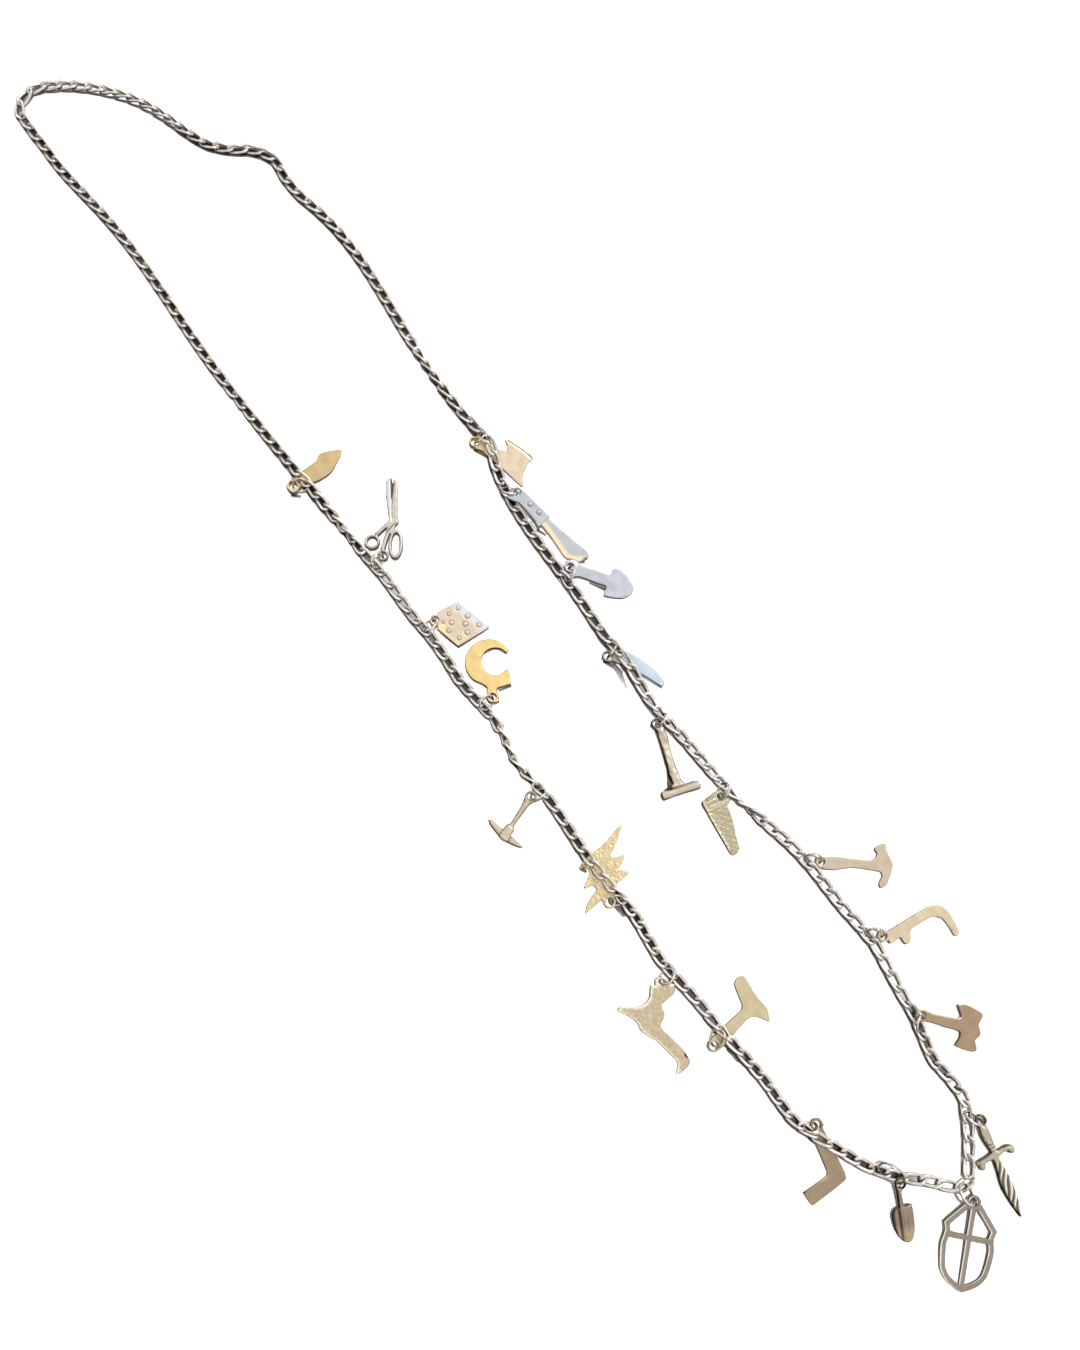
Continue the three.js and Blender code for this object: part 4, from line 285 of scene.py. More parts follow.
def sweep(path, out_dirs, radius, sides=10, closed=True, thin=1.0):
    """A round wire along path. out_dirs: a direction across the wire at each point. Returns points, faces and, for each point
    of the skin, the cosine between its normal and out_dirs."""
    n = len(path)
    nxt = np.roll(path, -1, 0) if closed else np.vstack([path[1:], 2 * path[-1] - path[-2]])
    prv = np.roll(path, 1, 0) if closed else np.vstack([2 * path[0] - path[1], path[:-1]])
    T = nxt - prv
    T /= np.linalg.norm(T, axis=1)[:, None]
    N = out_dirs - (out_dirs * T).sum(1)[:, None] * T
    N /= np.linalg.norm(N, axis=1)[:, None]
    B = np.cross(T, N)
    a = np.arange(sides) * 2 * math.pi / sides
    r = np.full(n, radius) if np.isscalar(radius) else np.asarray(radius)
    V = path[:, None] + r[:, None, None] * (np.cos(a)[None, :, None] * N[:, None] + thin * np.sin(a)[None, :, None] * B[:, None])
    V = V.reshape(-1, 3)
    faces = []
    for i in range(n if closed else n - 1):
        j = (i + 1) % n
        for k in range(sides):
            m = (k + 1) % sides
            faces.append((i * sides + k, j * sides + k, j * sides + m, i * sides + m))
    if not closed:
        faces.append(tuple(range(sides))[::-1])
        faces.append(tuple((n - 1) * sides + k for k in range(sides)))
    cosine = np.tile(np.cos(a), n)
    # faces turn outwards
    p, q, s = V[faces[0][0]], V[faces[0][1]], V[faces[0][2]]
    if np.dot(np.cross(q - p, s - p), p - path[0]) < 0:
        faces = [f[::-1] for f in faces]
    return V, faces, cosine


class Soup:
    """Several closed pieces of skin in one mesh."""

    def __init__(self):
        self.v, self.f, self.a, self.n = [], [], {}, 0

    def add(self, v, f, **floats):
        self.v.append(np.asarray(v, float))
        self.f += [tuple(i + self.n for i in face) for face in f]
        self.n += len(v)
        for k, x in floats.items():
            self.a.setdefault(k, []).append(np.broadcast_to(np.asarray(x, float), (len(v),)))

    def object(self, name, matrix=None):
        return mesh_object(name, np.vstack(self.v), self.f, matrix, {k: np.concatenate(x) for k, x in self.a.items()})


# ------------------------------------------------------------------ chain links
def stadium(half, wide, n):
    """Centre line of a link in its plane and its outward directions, by even steps."""
    straight, arc = 2 * (half - wide), math.pi * wide
    loop = 2 * (straight + arc)
    P, O = [], []
    for i in range(n):
        s = (i + 0.5) * loop / n
        if s < straight:
            P.append((-(half - wide) + s, -wide)); O.append((0, -1))
        elif s < straight + arc:
            a = -math.pi / 2 + (s - straight) / wide
            P.append((half - wide + wide * math.cos(a), wide * math.sin(a))); O.append((math.cos(a), math.sin(a)))
        elif s < 2 * straight + arc:
            P.append((half - wide - (s - straight - arc), wide)); O.append((0, 1))
        else:
            a = math.pi / 2 + (s - 2 * straight - arc) / wide
            P.append((-(half - wide) + wide * math.cos(a), wide * math.sin(a))); O.append((math.cos(a), math.sin(a)))
    return np.array(P), np.array(O)


def link_skin(centre, along, side, half, wire):
    """One twisted oval link of round wire."""
    flat, out = stadium(half, WIDE, 36)
    up = np.cross(along, side)
    x, r = flat[:, 0], flat[:, 1]
    phi = -TWIST * x / half
    P = centre + x[:, None] * along + (r * np.cos(phi))[:, None] * side + (r * np.sin(phi))[:, None] * up
    D = out[:, :1] * along + (out[:, 1] * np.cos(phi))[:, None] * side + (out[:, 1] * np.sin(phi))[:, None] * up
    return sweep(P, D, wire, 12, thin=THIN)


def roll_base(s):
    """How far the links lie over on their sides along the chain, in degrees."""
    t = 0.0
    for centre, width, amount in ROLLS:
        d = ((s - centre + TOTAL / 2) % TOTAL) - TOTAL / 2
        t += amount * math.exp(-((d / width) ** 2))
    return t


ROLLS = [(114.0, 8.0, 45.0), (164.0, 7.0, 55.0), (232.0, 5.0, 40.0), (241.0, 14.0, 80.0), (252.0, 5.0, 30.0), (531.0, 9.0, -78.0), (684.0, 10.0, 62.0), (812.0, 16.0, 30.0)]
# how much one link lies over differently from the next, in degrees: [place along the chain], [amount]
WILD = [(0, 25, 90, 105, 165, 180, 640, 650, 700, 715, 780, 846), (10, 20, 22, 24, 24, 12, 8, 22, 24, 20, 18, 12)]

names = sorted(CHARMS, key=lambda k: MARK[k])
LINKS = []  # (arc, centre, along, side)
for i, k in enumerate(names):
    k2 = names[(i + 1) % len(names)]
    s0, n = MARK[k], COUNTS[k]
    d = ((MARK[k2] - s0) % TOTAL) / n
    for j in range(n):
        s = (s0 + j * d) % TOTAL
        if j == 0:
            c = CHARMS[k]["link"]
            along, side = unit(c["along"]), unit(c["side"])
            if np.dot(along, at(s + 1) - at(s - 1)) < 0:
                along = -along
            side = unit(side - np.dot(side, along) * along)
            p = at(s)
            p[2] = c["z"]
            LINKS.append([s, p, along, side, d, True])
            continue
        t = unit(at(s + 1.9) - at(s - 1.9))
        h = unit(np.cross((0, 0, 1), t))
        u = np.cross(t, h)
        roll = roll_base(s) + np.interp(s, WILD[0], WILD[1]) * math.sin(12.9898 * (len(LINKS) + 1))
        for kk, dist in ((k, j), (k2, n - j)):
            if dist <= 2:
                cs = unit(CHARMS[kk]["link"]["side"])
                want = math.degrees(math.atan2(np.dot(cs, u), np.dot(cs, h)))
                want = (want + 90) % 180 - 90
                turn = (want - roll + 90) % 180 - 90
                roll += turn * (0.62 if dist == 1 else 0.28)
        a = math.radians(roll)
        LINKS.append([s, at(s), t, math.cos(a) * h + math.sin(a) * u, d, False])

soups = {name: Soup() for name, _, _ in STRETCHES}
ends = [(name, JOINT_AT[a] if a else 0.0, JOINT_AT[b] if b else TOTAL) for name, a, b in STRETCHES]
for seed, (s, p, along, side, pitch, carries) in enumerate(LINKS):
    V, F, c = link_skin(p, along, side, max(HALF, pitch / 2 + WIRE + 0.01), 0.43 if carries else WIRE)
    low = V[:, 2].min()
    if low < 0.01:
        V[:, 2] += 0.01 - low
    elif not carries and p[2] < 1.35:
        V[:, 2] -= (low - 0.01) * min(1, max(0, (1.35 - p[2]) / 0.25))
    name = next(n for n, a, b in ends if a <= s < b)
    inward = np.clip(-c, 0, 1)  # the side of the wire that faces the middle of the link, which gets painted shade
    soups[name].add(V + SHIFT, F, inner=inward, tone=0.5 + 0.5 * math.sin(78.233 * seed))
links = {}
for name, soup in soups.items():
    links[name] = soup.object("links_" + name[6:])

# ------------------------------------------------------------------ jump rings
def ring_skin(centre, u, w, R, wire, start, n=56):
    """A jump ring: a round of wire with its two cut ends nearly touching."""
    u, w = unit(u), unit(w)
    gap = 0.06 / R
    a = start + gap / 2 + (2 * math.pi - gap) * np.arange(n + 1) / n
    D = np.cos(a)[:, None] * u + np.sin(a)[:, None] * w
    P = np.asarray(centre) + R * D
    radius = np.full(n + 1, wire)
    radius[[0, -1]] *= 0.93
    return sweep(P, D, radius, 12, closed=False)


RING_START = {"dagger": 0.6, "adze": 4.1, "scissors": 1.2, "spade": 3.4}  # where a ring's cut lies
rings = {}
for k, c in CHARMS.items():
    r = c["ring"]
    soup = Soup()
    V, F, cc = ring_skin(r["centre"], r["u"], r["w"], r["R"], r.get("wire", RING_WIRE), RING_START.get(k, 2.2))
    soup.add(V + SHIFT, F, inner=np.clip(-cc, 0, 1), tone=0.5)
    rings[k] = soup.object("jump_ring_" + k)

# ------------------------------------------------------------------ charms
def outline(points, step=0.2, corner=33, relax=2):
    """A smooth closed outline through points. A turn of more than corner degrees stays a corner, slightly rounded."""
    P = np.asarray(points, float)
    n = len(P)
    d_in = P - np.roll(P, 1, 0)
    d_out = np.roll(P, -1, 0) - P
    l_in, l_out = np.linalg.norm(d_in, axis=1), np.linalg.norm(d_out, axis=1)
    u_in, u_out = d_in / l_in[:, None], d_out / l_out[:, None]
    turn = np.degrees(np.arccos(np.clip((u_in * u_out).sum(1), -1, 1)))
    tangent = u_in * l_in[:, None] + u_out * l_out[:, None]  # a long side stays straight, the bend is in the short ones
    tangent /= np.linalg.norm(tangent, axis=1)[:, None] + 1e-9
    sharp = turn > corner
    out = []
    for i in range(n):
        j = (i + 1) % n
        m0 = (u_out[i] if sharp[i] else tangent[i]) * l_out[i]
        m1 = (u_in[j] if sharp[j] else tangent[j]) * l_out[i]
        k = max(1, int(math.ceil(l_out[i] / 0.05)))
        t = (np.arange(k) / k)[:, None]
        out.append((2 * t**3 - 3 * t**2 + 1) * P[i] + (t**3 - 2 * t**2 + t) * m0 + (-2 * t**3 + 3 * t**2) * P[j] + (t**3 - t**2) * m1)
    Q = np.concatenate(out)
    for _ in range(relax * 3):
        Q = 0.25 * np.roll(Q, 1, 0) + 0.5 * Q + 0.25 * np.roll(Q, -1, 0)
    seg = np.linalg.norm(np.diff(np.vstack([Q, Q[:1]]), axis=0), axis=1)
    S = np.concatenate([[0], np.cumsum(seg)])
    m = max(8, int(round(S[-1] / step)))
    s = np.arange(m) * S[-1] / m
    L = np.vstack([Q, Q[:1]])
    return np.stack([np.interp(s, S, L[:, 0]), np.interp(s, S, L[:, 1])], 1)


def circle(r, n=26, centre=(0, 0)):
    a = np.arange(n) * 2 * math.pi / n
    return np.stack([centre[0] + r * np.cos(a), centre[1] + r * np.sin(a)], 1)


def distance(P, loops):
    """From each point to the nearest outline."""
    best = np.full(len(P), 1e9)
    for L in loops:
        A, B = L, np.roll(L, -1, 0)
        D = B - A
        dd = (D**2).sum(1)
        for i in range(0, len(P), 400):
            p = P[i : i + 400, None]
            t = np.clip(((p - A) * D).sum(2) / dd, 0, 1)
            q = A + t[:, :, None] * D
            best[i : i + 400] = np.minimum(best[i : i + 400], np.sqrt(((p - q) ** 2).sum(2)).min(1))
    return best


def inside(P, loops):
    """True where a point is within the outline and in none of its holes."""
    odd = np.zeros(len(P), bool)
    for L in loops:
        A, B = L, np.roll(L, -1, 0)
        for a, b in zip(A, B):
            if a[1] == b[1]:
                continue
            cross = (a[1] > P[:, 1]) != (b[1] > P[:, 1])
            x = (b[0] - a[0]) * (P[:, 1] - a[1]) / (b[1] - a[1]) + a[0]
            odd ^= cross & (P[:, 0] < x)
    return odd


def segment(P, a, b):
    """Distance of each point to the segment a-b, and how far along it (0 to 1)."""
    a, b = np.asarray(a, float), np.asarray(b, float)
    t = np.clip(((P - a) @ (b - a)) / ((b - a) @ (b - a)), 0, 1)
    return np.linalg.norm(P - a - t[:, None] * (b - a), axis=1), t


def path_distance(P, pts):
    """Distance to a polyline, and the place along it (0 to 1)."""
    pts = np.asarray(pts, float)
    L = np.linalg.norm(np.diff(pts, axis=0), axis=1)
    S = np.concatenate([[0], np.cumsum(L)])
    best, where = np.full(len(P), 1e9), np.zeros(len(P))
    for i in range(len(pts) - 1):
        d, t = segment(P, pts[i], pts[i + 1])
        m = d < best
        best[m], where[m] = d[m], ((S[i] + t * L[i]) / S[-1])[m]
    return best, where


def smoothstep(a, b, x):
    t = np.clip((x - a) / (b - a), 0, 1)
    return t * t * (3 - 2 * t)


def ripple(P, scale, seed):
    """Soft irregular relief between -1 and 1, made of a few waves."""
    rng = np.random.default_rng(seed)
    z = np.zeros(len(P))
    for _ in range(9):
        a = rng.uniform(0, 2 * math.pi)
        k = rng.uniform(0.6, 1.6) * 2 * math.pi / scale
        z += np.sin(k * (P[:, 0] * math.cos(a) + P[:, 1] * math.sin(a)) + rng.uniform(0, 6.283))
    return z / 4.5


def local(k, x, y):
    """A point of the drawing in the charm's own frame: x along the handle from the hole."""
    p = CHARMS[k]["plate"]
    dx, dy = x - p["at"][0], y - p["at"][1]
    return np.array([dx * p["dir"][0] + dy * p["dir"][1], -dx * p["dir"][1] + dy * p["dir"][0]])


def pillow(d, wide, high):
    """Height of a rounded edge that is wide across and rises by high."""
    x = np.clip(d / wide, 0, 1)
    return high * np.sqrt(np.clip(1 - (1 - x) ** 2, 0, 1))


def plate(k, relief=None, edge=0.24, edge_wide=0.36, wall=None, grid=0.32, extra_points=(), under=0.6, corner=33, thick=None):
    """A charm cut from its outline. edge: how much of the thickness the rounded rim takes, edge_wide: how far in it reaches.
    relief(P, d) raises or lowers the upper face, d being the distance to the outline. under: the share of the rim below."""
    p = CHARMS[k]["plate"]
    T = thick or p["t"]
    edge_wide = edge_wide or edge
    loops = [outline(p["outline"], corner=corner), circle(p["hole"])] + [outline(h, corner=corner) for h in p.get("holes", [])]
    pts, edges, n = [], [], 0
    for L in loops:
        pts.append(L)
        edges += [(n + i, n + (i + 1) % len(L)) for i in range(len(L))]
        n += len(L)
    B = np.vstack(pts)
    offs = [x for x in (0.035, 0.09, 0.17, 0.28) if x < edge_wide * 1.15] + ([edge_wide * f for f in (0.55, 0.8, 1.0)] if edge_wide > 0.3 else [])
    more = []
    for L in loops:
        t = np.roll(L, -1, 0) - np.roll(L, 1, 0)
        t /= np.linalg.norm(t, axis=1)[:, None]
        nn = np.stack([-t[:, 1], t[:, 0]], 1)
        probe = inside(L + nn * 0.03, loops)
        nn[~probe] *= -1
        for o in offs:
            q = L + nn * o
            q = q[inside(q, loops)]
            if len(q):
                more.append(q[distance(q, loops) > 0.93 * o])
    lo, hi = B.min(0), B.max(0)
    gx, gy = np.meshgrid(np.arange(lo[0], hi[0], grid), np.arange(lo[1], hi[1], grid * 0.87))
    gx = gx + (np.arange(gx.shape[0]) % 2)[:, None] * grid / 2
    G = np.stack([gx.ravel(), gy.ravel()], 1)
    G = G[inside(G, loops)]
    fine = np.vstack([np.asarray(e, float) for e in extra_points]) if len(extra_points) else np.zeros((0, 2))
    if len(fine):
        fine = fine[inside(fine, loops)]
        fine = fine[distance(fine, loops) > 0.08]
        G = G[np.array([np.linalg.norm(fine - g, axis=1).min() > 0.5 * grid for g in G])] if len(G) else G
        more.append(fine)
    G = G[distance(G, loops) > max(max(offs) + 0.35 * grid, 0.3 * grid)]
    allp = np.vstack([B] + more + [G])
    out = delaunay_2d_cdt([Vector(v) for v in allp], edges, [], 0, 1e-5)
    P = np.array([tuple(v) for v in out[0]])
    tri = np.array([tuple(f) for f in out[2]])
    tri = tri[inside(P[tri].mean(1), loops)]
    used = np.unique(tri)
    remap = -np.ones(len(P), int)
    remap[used] = np.arange(len(used))
    P, tri = P[used], remap[tri]
    a, b, c = P[tri[:, 0]], P[tri[:, 1]], P[tri[:, 2]]
    flip = ((b[:, 0] - a[:, 0]) * (c[:, 1] - a[:, 1]) - (b[:, 1] - a[:, 1]) * (c[:, 0] - a[:, 0])) < 0
    tri[flip] = tri[flip][:, ::-1]
    d = distance(P, loops)
    d[d < 1e-4] = 0
    e = min(edge, T / 2 - 0.02)
    w = T / 2 - e if wall is None else wall
    x = np.clip(d / edge_wide, 0, 1)
    rise = np.sqrt(np.clip(1 - (1 - x) ** 2, 0, 1))
    top = w + (T / 2 - w) * rise
    low = -(w + (T / 2 - w) * np.sqrt(np.clip(1 - (1 - np.clip(d / (edge_wide * under + 1e-6), 0, 1)) ** 2, 0, 1)))
    # a relief's second value is painted shade in grooves, gaps and under ledges, with some random darker tone
    cavity = second = gilt = np.zeros(len(P))
    if relief is not None:
        r = relief(P, d)
        r = r if isinstance(r, tuple) else (r,)
        r, cavity, second, gilt = r + (cavity, second, gilt)[len(r) - 1 :]
        top = np.maximum(top + r * smoothstep(0.0, 0.12, d), low + 0.12)
    m = len(P)
    V = np.vstack([np.column_stack([P, top]), np.column_stack([P, low])])
    F = [tuple(t) for t in tri] + [tuple(t[::-1] + m) for t in tri]
    # the wall between the faces: border edges of the upper one
    count = {}
    for t in tri:
        for i in range(3):
            count[(t[i], t[(i + 1) % 3])] = True
    for (i, j) in list(count):
        if (j, i) not in count:
            F.append((i, i + m, j + m, j))
    # rim and side mark the rounded edge and the walls, where the metal gets painted shade
    rim = np.concatenate([1 - smoothstep(0.0, edge_wide * 0.9 + 0.05, d)] * 2)
    side = np.concatenate([(d == 0).astype(float)] * 2)
    soup = Soup()
    soup.add(V, F, rim=rim, cavity=np.concatenate([cavity, np.zeros(m)]), second=np.concatenate([second] * 2), gilt=np.concatenate([gilt] * 2), side=side, up=np.concatenate([np.ones(m), np.zeros(m)]))
    return soup


def dome(soup, x, y, z, r, h, rings=5, n=18, cavity=0.0, up=1.0, second=0.0):
    """A round-headed boss standing on the plate."""
    V, F = [(x, y, z - 0.15 + 0.0)], []
    prof = [(r, -0.15), (r, 0.0)] + [(r * math.cos(i * math.pi / 2 / rings), h * math.sin(i * math.pi / 2 / rings)) for i in range(1, rings)]
    for rr, zz in prof:
        for i in range(n):
            a = 2 * math.pi * i / n
            V.append((x + rr * math.cos(a), y + rr * math.sin(a), z + zz))
    V.append((x, y, z + h))
    for i in range(n):
        j = (i + 1) % n
        F.append((0, 1 + j, 1 + i))
        for q in range(len(prof) - 1):
            F.append((1 + q * n + i, 1 + q * n + j, 1 + (q + 1) * n + j, 1 + (q + 1) * n + i))
        F.append((1 + (len(prof) - 1) * n + i, 1 + (len(prof) - 1) * n + j, len(V) - 1))
    base = np.zeros(len(V))
    base[: 2 * n + 1] = cavity
    soup.add(V, F, rim=0.0, cavity=base, second=second, gilt=0.0, side=0.0, up=up)


def rod(soup, pts, radii, n=16, cap=True, squash=1.0, base=0.0, second=0.0):
    """A round bar through pts (x, y, z) with a radius at each, its ends closed by a low dome."""
    P = np.asarray(pts, float)
    R = np.asarray(radii, float)
    S = np.concatenate([[0], np.cumsum(np.linalg.norm(np.diff(P, axis=0), axis=1))])
    m = max(6, int(S[-1] / 0.3))
    s = np.linspace(0, S[-1], m)
    Q = np.stack([np.interp(s, S, P[:, i]) for i in range(3)], 1)
    q = np.interp(s, S, R)
    if cap:  # rounded ends
        t0, t1 = unit(Q[0] - Q[1]), unit(Q[-1] - Q[-2])
        a = np.array([0.25, 0.55, 0.8, 0.95])
        Q = np.vstack([[Q[0] + t0 * q[0] * 0.35 * math.sqrt(1 - x * x) for x in a], Q, [Q[-1] + t1 * q[-1] * 0.35 * math.sqrt(1 - x * x) for x in a[::-1]]])
        q = np.concatenate([q[0] * a, q, q[-1] * a[::-1]])
    D = np.tile(np.array([0.0, 0.0, 1.0]), (len(Q), 1))
    V, F, c = sweep(Q, D, q, n, closed=False)
    if squash != 1.0:
        mid = np.repeat(Q[:, 2], n)
        V[:, 2] = mid + (V[:, 2] - mid) * squash
    soup.add(V, F, rim=0.0, cavity=base, second=second, gilt=0.0, side=0.0, up=(c > -0.2).astype(float))


def placed(k):
    """Matrix of the charm's own frame in the part's frame."""
    p = CHARMS[k]["plate"]
    a = math.radians(p["slope"])
    dx, dy = p["dir"][0], p["dir"][1]
    x = np.array([dx * math.cos(a), dy * math.cos(a), -math.sin(a)])
    y = unit([-dy, dx, 0])
    z = np.cross(x, y)
    o = (np.array(p["at"]) + SHIFT) * MM
    return Matrix(((x[0], y[0], z[0], o[0]), (x[1], y[1], z[1], o[1]), (x[2], y[2], z[2], o[2]), (0, 0, 0, 1)))


def near(P, x, y, r, soft=0.3):
    """1 within r of a point, 0 further out."""
    return 1 - smoothstep(r - soft, r + soft, np.hypot(P[:, 0] - x, P[:, 1] - y))


def facing(k, P, x, y, reach=(0.22, 0.36, 0.5)):
    """How much of the charm's edge lies close by in the direction x, y (0 to 1)."""
    p = CHARMS[k]["plate"]
    loops = [np.array(p["outline"], float)] + [np.array(h, float) for h in p.get("holes", [])]
    way = unit((x, y))
    return sum((~inside(P + r * way, loops)).astype(float) for r in reach) / len(reach)


def beyond(v, at, soft=0.3):
    return smoothstep(at - soft, at + soft, v)


def machete(P, d):
    x, y = P[:, 0], P[:, 1]
    block = 1 - beyond(x, 1.7, 0.12)
    groove = np.exp(-(((x - 0.9) / 0.16) ** 2)) * block
    # painted shade in the groove
    return 0.55 * block - 0.3 * groove + 0.03 * ripple(P, 4.0, 3), 0.8 * groove, 0.7 * block


def scissors(P, d):
    x, y = P[:, 0], P[:, 1]
    bows = 1 - beyond(x, 9.6, 0.7)
    cut = np.interp(x, [9.5, 15, 18, 22.6], [-2.9, -3.15, -3.35, -3.7])
    wide = np.interp(x, [10, 15, 17, 21.2, 22.4], [0.0, 0.03, 0.1, 0.42, 0.2])
    gap = (1 - smoothstep(wide, wide + 0.2, np.abs(y - cut))) * beyond(x, 10.6, 0.5)
    upper = beyond(y - cut, 0.0, 0.15) * (1 - bows)
    shank, t = path_distance(P, [(5.4, -0.1), (7.2, -1.9), (9.2, -3.9)])
    slit = np.exp(-((shank / 0.2) ** 2)) * beyond(x, 5.2, 0.2)
    bar, t2 = path_distance(P, [(1.2, -1.9), (4.5, -2.2), (7.4, -3.2)])
    slit2 = np.exp(-((bar / 0.15) ** 2)) * 0.6
    h = bows * pillow(d, 0.62, 0.3) + upper * 0.22 - 0.5 * gap - 0.3 * slit - 0.15 * slit2 + (1 - bows) * 0.03 * ripple(P, 3, 4)
    fine = np.exp(-(((y - cut) / 0.1) ** 2)) * beyond(x, 10.6, 0.5) * 0.4
    blue = upper * smoothstep(11.5, 15.0, x) * smoothstep(0.15, 0.7, y - cut)
    # painted shade in the gap between the blades, along the cut and in the slits
    return h, np.clip(0.95 * gap * beyond(x, 16.6, 0.6) + fine + 0.8 * slit + 0.45 * slit2, 0, 1), blue


def diamond(P, d):
    s, t = segment(P, (5.8, 5.2), (14.7, -1.6))
    hollow = np.zeros(len(P))
    for a, b, r in BOSSES:
        q = np.hypot(P[:, 0] - a, P[:, 1] - b)
        hollow = np.maximum(hollow, np.exp(-(((q - r - 0.05) / 0.14) ** 2)))
    low, t = segment(P, (1.6, -3.2), (6.2, -6.9))
    warm = np.clip(0.8 * near(P, 2.0, -2.0, 1.0, 0.7) + 0.55 * (1 - smoothstep(0.3, 1.3, low)), 0, 1)
    # painted shade in the ring round the foot of each boss
    return 0.03 * ripple(P, 5, 8) - 0.08 * hollow, 0.72 * hollow, 0.95 * (1 - smoothstep(1.0, 2.6, s + 0.3 * ripple(P, 4, 2))), warm


BOSSES = [(6.2, 3.4, 0.54), (3.7, 1.7, 0.5), (8.8, 1.2, 0.64), (2.1, -0.6, 0.34), (4.4, -0.7, 0.6), (8.3, -1.0, 0.66), (12.0, -1.2, 0.62),
          (3.7, -3.0, 0.54), (8.8, -3.4, 0.6), (6.6, -5.0, 0.5)]


def crescent(P, d):
    return 0.035 * ripple(P, 5, 5) + 0.3 * near(P, 0, 0, 1.5, 0.1)


def pickaxe(P, d):
    x, y = P[:, 0], P[:, 1]
    handle = (1 - beyond(x, 9.9, 0.15)) * beyond(x, 1.2, 0.3)
    socket = beyond(x, 9.9, 0.08) * (1 - smoothstep(1.25, 1.5, np.abs(y + 0.1)))
    band = np.exp(-(((x - 10.1) / 0.16) ** 2)) + np.exp(-(((x - 13.3) / 0.16) ** 2))
    head = beyond(x, 10.5, 0.3) * (1 - socket)
    ribs = 0.12 * np.sin(2 * math.pi * (y + 0.5 * x) / 0.6)
    h = handle * (pillow(d, 0.75, 0.62) + 0.05 * np.sin(2 * math.pi * x / 0.7)) + (1 - beyond(x, 1.5, 0.2)) * pillow(d, 0.7, 0.35)
    h += socket * (0.55 + 0.5 * np.sqrt(np.clip(1 - ((y + 0.1) / 1.5) ** 2, 0, 1)) + 0.14 * band) + head * (pillow(d, 0.7, 0.4) + ribs)
    edge = np.exp(-(((np.abs(y + 0.1) - 1.42) / 0.14) ** 2)) * beyond(x, 9.9, 0.08)
    # painted shade along the socket's edges, the handle's middle line and between the ribs
    return h, 0.8 * edge + 0.25 * handle * np.exp(-(((y + 0.1) / 0.1) ** 2)) + 0.45 * head * (ribs < -0.04) + 0.2 * handle * (np.sin(2 * math.pi * x / 0.7) < -0.3)


def burst(P, d):
    return 0.05 * ripple(P, 1.3, 6) + 0.04 * ripple(P, 0.7, 16)


def notched(P, d):
    beak = near(P, 19.2, 5.1, 0.8, 0.25) * (1 - smoothstep(0.5, 0.9, d))
    bevel = np.maximum(facing("notched_plate", P, -0.8, -0.6, (0.5, 0.8, 1.1)), 0.9 * facing("notched_plate", P, 0.45, -0.9, (0.3, 0.5, 0.75))) * beyond(P[:, 0], -1.4, 0.3)
    back = facing("notched_plate", P, 0.35, 0.95, (0.12, 0.2)) * beyond(P[:, 0], 1.0, 0.3)
    # beak and back: painted shade in the notch and along the upper edges; bevel: painted highlight along the lit lower
    # edges
    return 0.05 * ripple(P, 1.4, 7) + 0.04 * ripple(P, 0.8, 27) - 0.3 * beak, np.maximum(0.9 * beak, 0.45 * back), bevel


def adze(P, d):
    block = 1 - beyond(P[:, 0], 1.9, 0.6)
    return 0.03 * ripple(P, 4, 9) + 0.15 * block


def square(P, d):
    edge, t = path_distance(P, [(11.2, -2.9), (12.6, -3.5), (13.3, -9.6)])
    # painted highlight along the inner corner's edge, and a dark spot near the tip
    return 0.03 * ripple(P, 5, 10), 0.8 * near(P, 13.8, -10.3, 0.35, 0.15), 0.8 * np.exp(-(((edge - 0.2) / 0.2) ** 2))


def shovel(P, d):
    x, y = P[:, 0], P[:, 1]
    blade = beyond(x, 5.7, 0.15)
    crest = np.interp(x, [5, 15.2], [-0.3, -0.8])
    u = y - crest
    top = 0.95 * np.exp(-((u / 1.9) ** 2)) * np.interp(x, [5.5, 8, 13, 15.2], [0.75, 1.0, 0.9, 0.3])
    groove = np.exp(-(((u + 1.45) / 0.28) ** 2)) * np.interp(x, [5.5, 6.5, 13, 15], [0.4, 1, 0.8, 0])
    fold = 0.12 * np.exp(-(((u - 0.75) / 0.25) ** 2)) + 0.12 * np.exp(-(((u + 2.25) / 0.2) ** 2))
    h = (1 - blade) * pillow(d, 0.7, 0.6) + blade * (top - 0.35 * groove + fold)
    shoulder = np.exp(-(((x - 5.75) / 0.2) ** 2)) * beyond(y, 0.2, 0.2)
    lines = 0.5 * np.exp(-(((u - 0.45) / 0.16) ** 2)) * np.interp(x, [6, 8, 12, 13.5], [0, 1, 1, 0]) + 0.45 * np.exp(-(((u + 0.5) / 0.14) ** 2)) * np.interp(x, [6, 8, 13, 14.5], [0.4, 1, 1, 0])
    # painted shade in the lines and groove and over the lower side of the blade, which faces away from the light
    return h, blade * np.clip(lines + 0.9 * groove + 0.8 * (1 - smoothstep(-3.1, -1.4, u)) - 0.7 * np.exp(-(((u + 2.25) / 0.22) ** 2)), 0, 1), 0.0 * x, 0.35 * shoulder + 0.3 * beyond(x, 11.5, 2.0)


def shield(P, d):
    light = facing("shield", P, 0.1, -1.0, (0.25, 0.38, 0.5))
    # painted highlight along the lower edges of the members, with a painted shade line at the very edge
    return 0.02 * ripple(P, 3, 12), 0.8 * light * (1 - smoothstep(0.05, 0.14, d)), light


